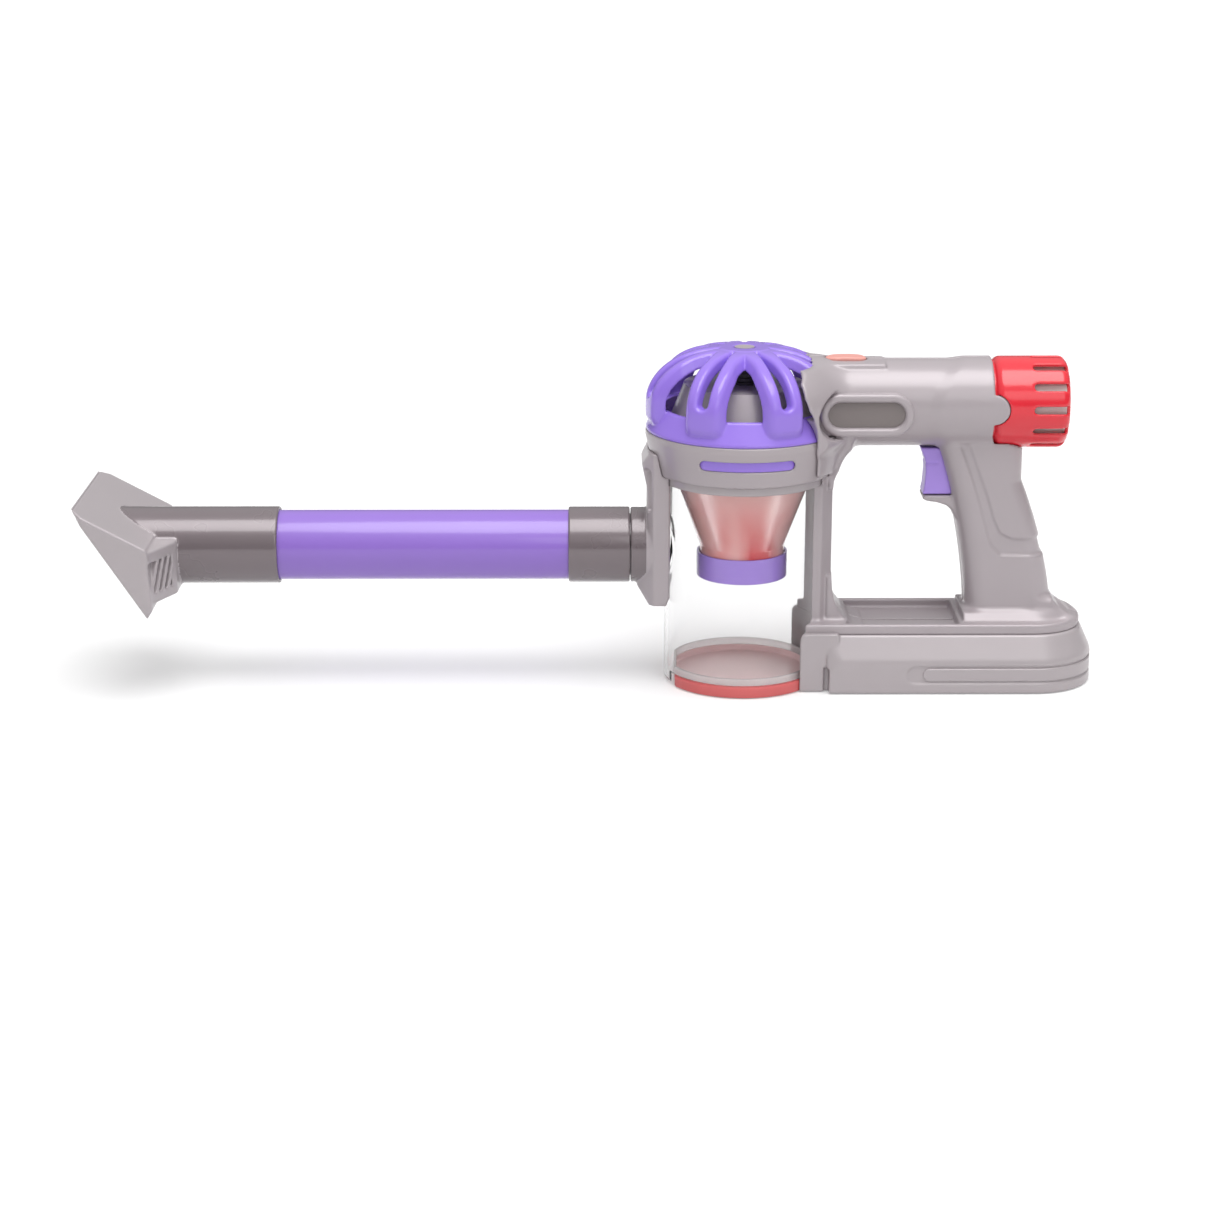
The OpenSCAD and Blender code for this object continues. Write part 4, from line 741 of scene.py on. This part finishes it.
def inlet_bracket():
    g = Grid((SEAM_X - 0.2, -22.2, 46.2), (-40.2, 22.2, 133), 0.7)
    profile = [
        (-40.5, 51.5), (-42.5, 46.5), (-52, 46.5), (-58.5, 55.5), (-58.5, 60.5), (-53, 66), (-53, 111.5),
        (-56, 125.5), (-52, 132.5), (-40.5, 132.5),
    ]
    edge = np.abs(g.y) - 22.0
    d = slab(polygon(g.x, g.z, profile), edge, 1.5)
    d = both(d, -(g.x + 49.5) * 0.8 + edge * 0.6, 1.0)
    niche = np.hypot(np.maximum(np.abs(g.z - 111.5) - 9.5, 0), np.abs(g.y) - 17.3) - 2.6
    d = cut(d, np.maximum(niche, g.x + 50.2), 0.5)
    axis_r = np.hypot(g.y, g.z - WAND_Z)
    d = join(d, slab(axis_r - 20.8, span(g.x, SEAM_X, -50.0), 0.6), 1.2)
    d = cut(d, axis_r - DUCT_R)
    d = cut(d, tower(g, 0.25))
    obj = dress(moulded("inlet_bracket_moulded", g, d), "body", grey, "inlet_bracket")
    return second_finish(
        obj, dark_grey, lambda x, y, z: (x < -53.5) & (np.hypot(y, z - WAND_Z) < 20.95))


inlet_bracket()


# Floor head: sloping scoop with a round neck and shoulders that narrow to it

HEAD_PROFILE = [(-363.8, 108.3), (-324.3, 47.7), (-321.5, 52.2), (-323.3, 86.5)]
HEAD_ROOM = [
    (-361.35, 104.54), (-364.7, 102.36), (-329.3, 48.1), (-325.9, 50.3), (-323.9, 53.8), (-325.6, 85.3),
]
SHOULDER_X, SHOULDER_Y = -323.0, 49.8


def floor_head():
    g = Grid((-364.2, -50.2, 47.5), (NECK_X, 50.2, 108.5), 0.85)
    side, axis_r = np.abs(g.y), np.hypot(g.y, g.z - WAND_Z)
    scoop = slab(polygon(g.x, g.z, HEAD_PROFILE), side - HEAD_HALF, 1.2)
    scoop = both(scoop, (-(g.x + 357.8) + (side - HEAD_HALF)) * math.sqrt(0.5), 0.8)
    neck = slab(axis_r - NECK_R, span(g.x, -345.0, NECK_X), 0.7)
    # Shoulders, with slanting ribs left standing in a niche on each
    shoulder = polygon(g.x, side, [
        (-326, -1), (-311, -1), (-311, 23.5), (SHOULDER_X, SHOULDER_Y), (-326, SHOULDER_Y),
    ])
    shoulder = slab(shoulder, np.maximum(g.z - 85.0, 55.0 - g.z), 1.4)
    along = (side - SHOULDER_Y) * 0.909 - (g.x - SHOULDER_X) * 0.416
    slant = along + 0.42 * (g.z - 60.5)
    rows = np.abs((slant + 6.6) % 5.6 - 2.8) - 1.35
    ribs = np.maximum(rows, span(slant, -23.2, -0.8))
    niche = polygon(g.x, side, [(-345, SHOULDER_Y - 9), (-303, 9.5), (-290, 70), (-330, 70)])
    niche = np.maximum(niche, np.maximum(span(g.z, 61.0, 78.5), -ribs))
    shoulder = cut(shoulder, np.maximum(niche, span(along, -24.5, 1.5)), 0.3)
    d = join(join(scoop, neck, 0.8), shoulder, 1.0)
    # Open mouth, room behind it and the duct to the tube
    (x0, z0), (x1, z1) = HEAD_PROFILE[:2]
    mouth = ((z0 - z1) * (g.x - x0) + (x1 - x0) * (g.z - z0)) / math.hypot(z0 - z1, x1 - x0)
    d = np.maximum(d, -mouth)
    d = cut(d, np.maximum(polygon(g.x, g.z, HEAD_ROOM), side - 46.5), 0.3)
    d = cut(d, np.maximum(axis_r - 17.0, span(g.x, -335.0, -250.0)))
    d = cut(d, np.maximum(axis_r - 19.6, span(g.x, -266.3, -250.0)), 0.2)
    obj = dress(moulded("floor_head_moulded", g, d), "head", pale_grey, "head_shell")
    return second_finish(
        obj, dark_grey, lambda x, y, z: (x > -348) & (np.hypot(y, z - WAND_Z) < NECK_R + 0.2))


floor_head()


# Rear cap with slots open at its rear edge

def rear_cap():
    g = Grid((129.4, -25.4, 132), (176.3, 25.4, 182.6), 0.62)
    r, angle = np.hypot(g.y, g.z - BARREL_Z), np.arctan2(g.z - BARREL_Z, g.y)
    s = g.x - BARREL_END
    skin = slab(r - REAR_R, span(s, 0.2, 41.4), 5.0)
    skin = join(skin, slab(r - 22.8, span(s, -5.0, 10.0), 0.4))
    neck_bore, bore, slots = 20.9, 22.9, 12
    d = cut(skin, np.maximum(r - np.where(s < 3, neck_bore, bore), s - 39.2), 0.3)
    d = cut(d, np.maximum(r - 12.3, 30.0 - s))
    step = TURN / slots
    across = r * ((angle + step / 2) % step - step / 2)
    d = cut(d, np.maximum(np.hypot(across, np.minimum(s - 23.4, 0)) - 2.0, neck_bore - r), 1.1)
    tab = np.maximum(np.hypot(s, g.z - BARREL_Z) - 8.5, bore - r)
    return dress(moulded("rear_cap_slotted", g, cut(d, tab, 0.3)), "body", red, "rear_cap")


rear_cap()


# Badge: rounded frame on the near side of the barrel, and the bowed plate in it

def badge_bezel():
    g = Grid((39.5, -27.4, 143), (91.2, -13, 167.4), 0.6)
    s = stadium(g.x - BADGE_X, g.z - BADGE_Z, BADGE_L, BADGE_W)
    hoop = slab(np.abs(s + 2.3) - 2.3, span(g.y, -27.2, -10.0), 2.0)
    lining = slab(np.abs(s + 4.2) - 0.6, span(g.y, -25.6, -20.0), 0.3)
    d = join(hoop, lining, 0.6)
    d = np.maximum(d, 20.5 - np.hypot(g.y, g.z - BARREL_Z))
    return dress(moulded("badge_bezel_rounded", g, d), "body", grey, "badge_bezel")


def badge_plate():
    g = Grid((42, -25.6, 146), (88.6, -20, 164.2), 0.6)
    outline = stadium(g.x - BADGE_X, g.z - BADGE_Z, BADGE_L, BADGE_W) + 4.0
    d = slab(outline, span(g.y, -24.9 + 0.006 * (g.z - BADGE_Z) ** 2, -20.6), 0.3)
    return dress(moulded("badge_plate_bowed", g, d), "body", badge_grey, "badge_plate")


badge_bezel()
badge_plate()


# Trigger and button, with their springs

def trigger():
    g = Grid((96.8, -7.6, 106.6), (119.7, 7.6, 132.8), 0.5)
    outline = [
        (97, 132.7), (99.4, 127), (100.2, 119.7), (99.6, 111), (98.8, 106.7), (119.5, 106.7), (119.5, 132.7),
    ]
    d = slab(polygon(g.x, g.z, outline), np.abs(g.y) - 7.5, 0.9)
    d = d + 0.55 * np.exp(-((g.z - 124.4) / 0.7) ** 2) * ease((107.5 - g.x) / 2)
    return dress(moulded("trigger_moulded", g, d), "trigger", trigger_purple, "trigger")


def top_button():
    g = Grid((43.9, -5.7, 167), (66.7, 5.7, 183.2), 0.5)
    top = 183.0 - 0.006 * (g.x - BUTTON_X) ** 2
    crown = slab(stadium(g.x - BUTTON_X, g.y, 22.4, 11.0), span(g.z, 180.0, top), 1.0)
    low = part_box("top_button")[0].z / MM
    stem = slab(np.hypot(g.x - STEM_X, g.y) - 3.0, span(g.z, low, 181.5), 0.3)
    return dress(moulded("top_button_moulded", g, np.minimum(crown, stem)), "button", pink, "top_button")


def coil(name, node, along, turns, fixed):
    """Wire spring in a node's place along one axis."""
    low, high = (np.array(corner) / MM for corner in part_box(node))
    wire, sides, across = 0.4, 8, [(along + 1) % 3, (along + 2) % 3]
    length, radius = high[along] - low[along], (high - low)[across[0]] / 2 - wire
    turn = np.linspace(0, TURN * turns, 20 * turns + 1)[:, None]
    lean = np.linspace(0, TURN, sides, endpoint=False)[None, :]
    points = np.zeros((turn.size, sides, 3))
    points[..., along] = low[along] + wire + (length - 2 * wire) * turn / turn.max() + wire * np.sin(lean)
    for axis, wave in zip(across, (np.cos(turn), np.sin(turn))):
        points[..., axis] = (low[axis] + high[axis]) / 2 + (radius + wire * np.cos(lean)) * wave
    ring = np.arange(turn.size - 1)[:, None] * sides
    here, there = np.arange(sides)[None, :], (np.arange(sides)[None, :] + 1) % sides
    after = ring + sides
    faces = np.stack([ring + here, ring + there, after + there, after + here], -1).reshape(-1, 4)
    end = np.array([(0, 3, 2, 1), (0, 7, 4, 3), (4, 7, 6, 5)])
    faces = np.concatenate([faces, end, end[:, ::-1] + (turn.size - 1) * sides])
    obj = dress(mesh_object(name, points.reshape(-1, 3), faces), "body", steel, node)
    anchor = (low + high) / 2
    anchor[along] = (low, high)[fixed][along]
    axis = tuple(float(i == along) for i in range(3))
    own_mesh(obj)
    return obj


trigger()
top_button()
coil("trigger_spring_coil", "trigger_spring", along=0, turns=7, fixed=1)
coil("button_spring_coil", "button_spring", along=2, turns=5, fixed=0)


# Base under the handle, with the trim strip let into its sides

def base_plan(g):
    """Distance to the base's outline from above."""
    return np.where(g.x < REAR_CX, np.abs(g.y), np.hypot(g.x - REAR_CX, g.y)) - BASE_HALF


def base_shell():
    g = Grid((25.5, -35.2, -0.2), (196.2, 35.2, 33.8), 0.85)
    plan, side = base_plan(g), np.abs(g.y)
    bevel = (14.0 * plan + 6.5 * (g.z - BASE_SIDE_H)) / math.hypot(14.0, 6.5)
    d = slab(np.maximum(plan, BASE_X - g.x), span(g.z, 0.05, BASE_H), 0.8)
    d = both(d, bevel, 1.2)
    facet = -29.25 * (g.x - 54.0) + 113.0 * (side - BASE_HALF) + 35.75 * (g.z - BASE_SIDE_H)
    d = both(d, facet / 122.0, 0.6)
    # Front block with sloping tops, beside the bin
    knob = slab(span(g.x, 25.8, 52.8), np.maximum(side - 31.0, span(g.z, 0.05, 33.0)), 0.8)
    roof = ((side - 31.0) * 0.6 + (g.z - 28.5) * 0.55 - (g.x - 28.9) * 0.35) / 0.89
    knob = both(knob, roof, 0.5)
    d = join(d, knob, 0.3)
    d = cut(d, np.maximum(span(g.x, 44.6, 47.4), np.maximum(29.0 - side, g.z - 14.0)), 0.5)
    inner = np.maximum(np.maximum(plan, bevel) + 3.2, np.maximum(55.0 - g.x, g.z - 29.7))
    d = cut(d, inner)
    # Room for the lid's hinge, and the knuckle in it
    hinge = np.maximum(span(g.y, -14.2, 14.2), np.maximum(g.x - 51.0, g.z - 10.5))
    d = cut(d, hinge, 0.2)
    knuckle = np.maximum(np.hypot(g.x - HINGE_X, g.z - HINGE_Z) - HINGE_R, side - KNUCKLE_HALF)
    root = block(g, (HINGE_X, 53), (-KNUCKLE_HALF, KNUCKLE_HALF), (0.4, 6.1), 0.2)
    d = np.minimum(d, np.minimum(knuckle, root))
    d = cut(d, np.hypot(g.x, g.y) - BIN_R - 0.5, 0.4)
    # Groove for the trim
    groove = np.hypot(np.maximum(95.3 - g.x, 0), g.z - TRIM_Z) - 4.9
    d = cut(d, np.maximum(groove, -plan - 0.9), 0.4)
    return dress(moulded("base_shell_moulded", g, d), "body", pale_grey, "base_shell")


def base_trim():
    g = Grid((98.8, -35.2, 6.8), (196.2, 35.2, 14.7), 0.6)
    strip = np.hypot(np.maximum(102.8 - g.x, 0), g.z - TRIM_Z) - 3.75
    d = slab(strip, np.abs(base_plan(g) + 0.85) - 0.8, 0.3)
    return dress(moulded("base_trim_moulded", g, d), "body", pale_grey, "base_trim")


base_shell()
base_trim()


# Clear bin: thin wall with a skirt in front and the inlet's hole

def clear_bin():
    g = Grid((-43.2, -43.2, 1.2), (43.2, 43.2, 118.2), 0.8)
    r = np.hypot(g.x, g.y)
    low = np.where(g.x < -39.0, 1.5, 7.0)
    d = slab(np.abs(r - 42.1) - 0.9, np.maximum(low - g.z, g.z - 118.0), 0.5)
    d = cut(d, np.maximum(np.hypot(g.y, g.z - WAND_Z) - DUCT_R, g.x + 20.0), 0.3)
    return dress(moulded("clear_bin_moulded", g, d), "body", bin_clear, "clear_bin")


clear_bin()


# Lid under the bin: red dish, and the pale plug ring that seals the bin

def bin_lid():
    g = Grid((-38, -43.2, -0.2), (51, 43.2, 6.8), 0.6)
    r, pin_r = np.hypot(g.x, g.y), np.hypot(g.x - HINGE_X, g.z - HINGE_Z)
    eyes = span(np.abs(g.y), 7.45, 13.45)
    dish = slab(r - BIN_R, span(g.z, 0.03, 6.5), 0.8)
    arm = slab(span(g.x, 30.0, HINGE_X), np.maximum(eyes, span(g.z, 0.35, 6.15)), 0.3)
    d = np.minimum(np.minimum(dish, arm), np.maximum(pin_r - HINGE_R, eyes))
    d = slab(d, LID_FRONT - g.x, 0.5)
    pan = np.maximum(slab(r - PLUG_R, LID_FRONT + 1.5 - g.x, 0.3), 3.0 - g.z)
    d = cut(cut(d, pan, 0.5), pin_r - 1.55)
    obj = dress(moulded("bin_lid_dish", g, d), "lid", lid_red, "bin_lid")
    second_finish(obj, lid_floor, lambda x, y, z: (z > 2.7) & (np.hypot(x, y) < 40.6))
    g = Grid((-38, -41, 6), (41, 41, 10.7), 0.6)
    r = np.hypot(g.x, g.y)
    ring = slab(np.maximum(r - 40.5, LID_FRONT - g.x), span(g.z, 6.3, 10.5), 0.6)
    ring = cut(ring, np.maximum(r - PLUG_R, LID_FRONT + 1.5 - g.x), 0.3)
    return dress(moulded("bin_lid_plug", g, ring), "lid", plug_clear, "bin_lid")


bin_lid()


# Camera at the photograph's angle, floor and soft studio light

PHOTO_SIZE = 1220
FOCAL_PIXELS = 2806.1
CAMERA_DISTANCE = 1.571397
CAMERA_RISE, CAMERA_TURN = math.radians(16.452), math.radians(-0.232)
CAMERA_TARGET = Vector((-0.073352, 0.0, 0.03828))
SENSOR_WIDTH = 36.0
FLOOR_HALF, FLOOR_DROP, FLOOR_GLOW = 30.0, 0.0004, 0.28


def make_camera():
    data = bpy.data.cameras.new("camera")
    data.sensor_width = SENSOR_WIDTH
    data.lens = SENSOR_WIDTH * FOCAL_PIXELS / PHOTO_SIZE
    data.clip_start, data.clip_end = 0.05, 60.0
    camera = bpy.data.objects.new("camera", data)
    bpy.context.collection.objects.link(camera)
    rise, turn = CAMERA_RISE, CAMERA_TURN
    back = Vector((math.sin(turn) * math.cos(rise), -math.cos(turn) * math.cos(rise), math.sin(rise)))
    right = Vector((math.cos(turn), math.sin(turn), 0))
    up = back.cross(right)
    camera.matrix_world = Matrix.Translation(CAMERA_TARGET + back * CAMERA_DISTANCE) @ Matrix(
        (right, up, back)).transposed().to_4x4()
    bpy.context.scene.camera = camera


def make_floor():
    """Pale floor that shows white and keeps the object's shadow."""
    size = FLOOR_HALF
    mesh = bpy.data.meshes.new("floor")
    corners = [(-size, -size, 0), (size, -size, 0), (size, size, 0), (-size, size, 0)]
    mesh.from_pydata(corners, [], [(0, 1, 2, 3)])
    floor = bpy.data.objects.new("floor", mesh)
    floor.location.z = -FLOOR_DROP
    bpy.context.collection.objects.link(floor)
    s = Shader("floor_white")
    grain = s.noise(3, 3)
    s.link(s.mix(grain, (0.69, 0.69, 0.69, 1), (0.71, 0.71, 0.71, 1)), s.bsdf.inputs["Base Color"])
    s.set(Roughness=0.9, Specular_IOR_Level=0.1)
    ray = s.node("ShaderNodeLightPath")
    seen = ray.outputs["Is Camera Ray"]
    for kind in ("Is Transmission Ray", "Is Glossy Ray"):
        either = s.node("ShaderNodeMath", operation="MAXIMUM")
        s.link(seen, either.inputs[0])
        s.link(ray.outputs[kind], either.inputs[1])
        seen = either.outputs[0]
    glow = s.node("ShaderNodeMath", operation="MULTIPLY")
    s.link(seen, glow.inputs[0])
    glow.inputs[1].default_value = FLOOR_GLOW
    s.bsdf.inputs["Emission Color"].default_value = (1, 1, 1, 1)
    s.link(glow.outputs[0], s.bsdf.inputs["Emission Strength"])
    floor.data.materials.append(s.material)


def area_light(name, place, target, size, power):
    data = bpy.data.lights.new(name, "AREA")
    data.shape = "RECTANGLE"
    data.size, data.size_y = size
    data.energy = power
    lamp = bpy.data.objects.new(name, data)
    lamp.location = place
    lamp.rotation_euler = (Vector(target) - Vector(place)).to_track_quat("-Z", "Y").to_euler()
    bpy.context.collection.objects.link(lamp)


def sun_light(name, rise, turn, strength, spread):
    """Even light from a height and a compass turn in degrees, as wide as spread."""
    data = bpy.data.lights.new(name, "SUN")
    data.energy = strength
    data.angle = math.radians(spread)
    lamp = bpy.data.objects.new(name, data)
    a, b = math.radians(rise), math.radians(turn)
    place = Vector((math.cos(a) * math.cos(b), math.cos(a) * math.sin(b), math.sin(a)))
    lamp.rotation_euler = (-place).to_track_quat("-Z", "Y").to_euler()
    bpy.context.collection.objects.link(lamp)


def make_world(level, overhead):
    """White to look at and through; as a light and in reflections, dim at the level, brighter overhead."""
    world = bpy.data.worlds.new("studio")
    world.use_nodes = True
    tree = world.node_tree
    back = tree.nodes["Background"]
    back.inputs["Color"].default_value = (1, 1, 1, 1)
    ray = tree.nodes.new("ShaderNodeLightPath")
    either = tree.nodes.new("ShaderNodeMath")
    either.operation = "MAXIMUM"
    tree.links.new(ray.outputs["Is Camera Ray"], either.inputs[0])
    tree.links.new(ray.outputs["Is Transmission Ray"], either.inputs[1])
    parts = tree.nodes.new("ShaderNodeSeparateXYZ")
    tree.links.new(tree.nodes.new("ShaderNodeTexCoord").outputs["Generated"], parts.inputs[0])
    rise = tree.nodes.new("ShaderNodeMapRange")
    rise.inputs["To Min"].default_value = level
    rise.inputs["To Max"].default_value = overhead
    tree.links.new(parts.outputs["Z"], rise.inputs["Value"])
    shown = tree.nodes.new("ShaderNodeMix")
    shown.inputs["B"].default_value = 1.0
    tree.links.new(either.outputs[0], shown.inputs["Factor"])
    tree.links.new(rise.outputs["Result"], shown.inputs["A"])
    tree.links.new(shown.outputs["Result"], back.inputs["Strength"])
    bpy.context.scene.world = world


make_camera()
make_floor()
make_world(level=0.1, overhead=0.95)
sun_light("top_sun", rise=74, turn=-75, strength=1.9, spread=45)
area_light("front_light", place=(0.7, -2.0, 1.2), target=(-0.05, 0.0, 0.1), size=(1.4, 0.9), power=6)
bpy.context.scene.view_settings.view_transform = "Standard"
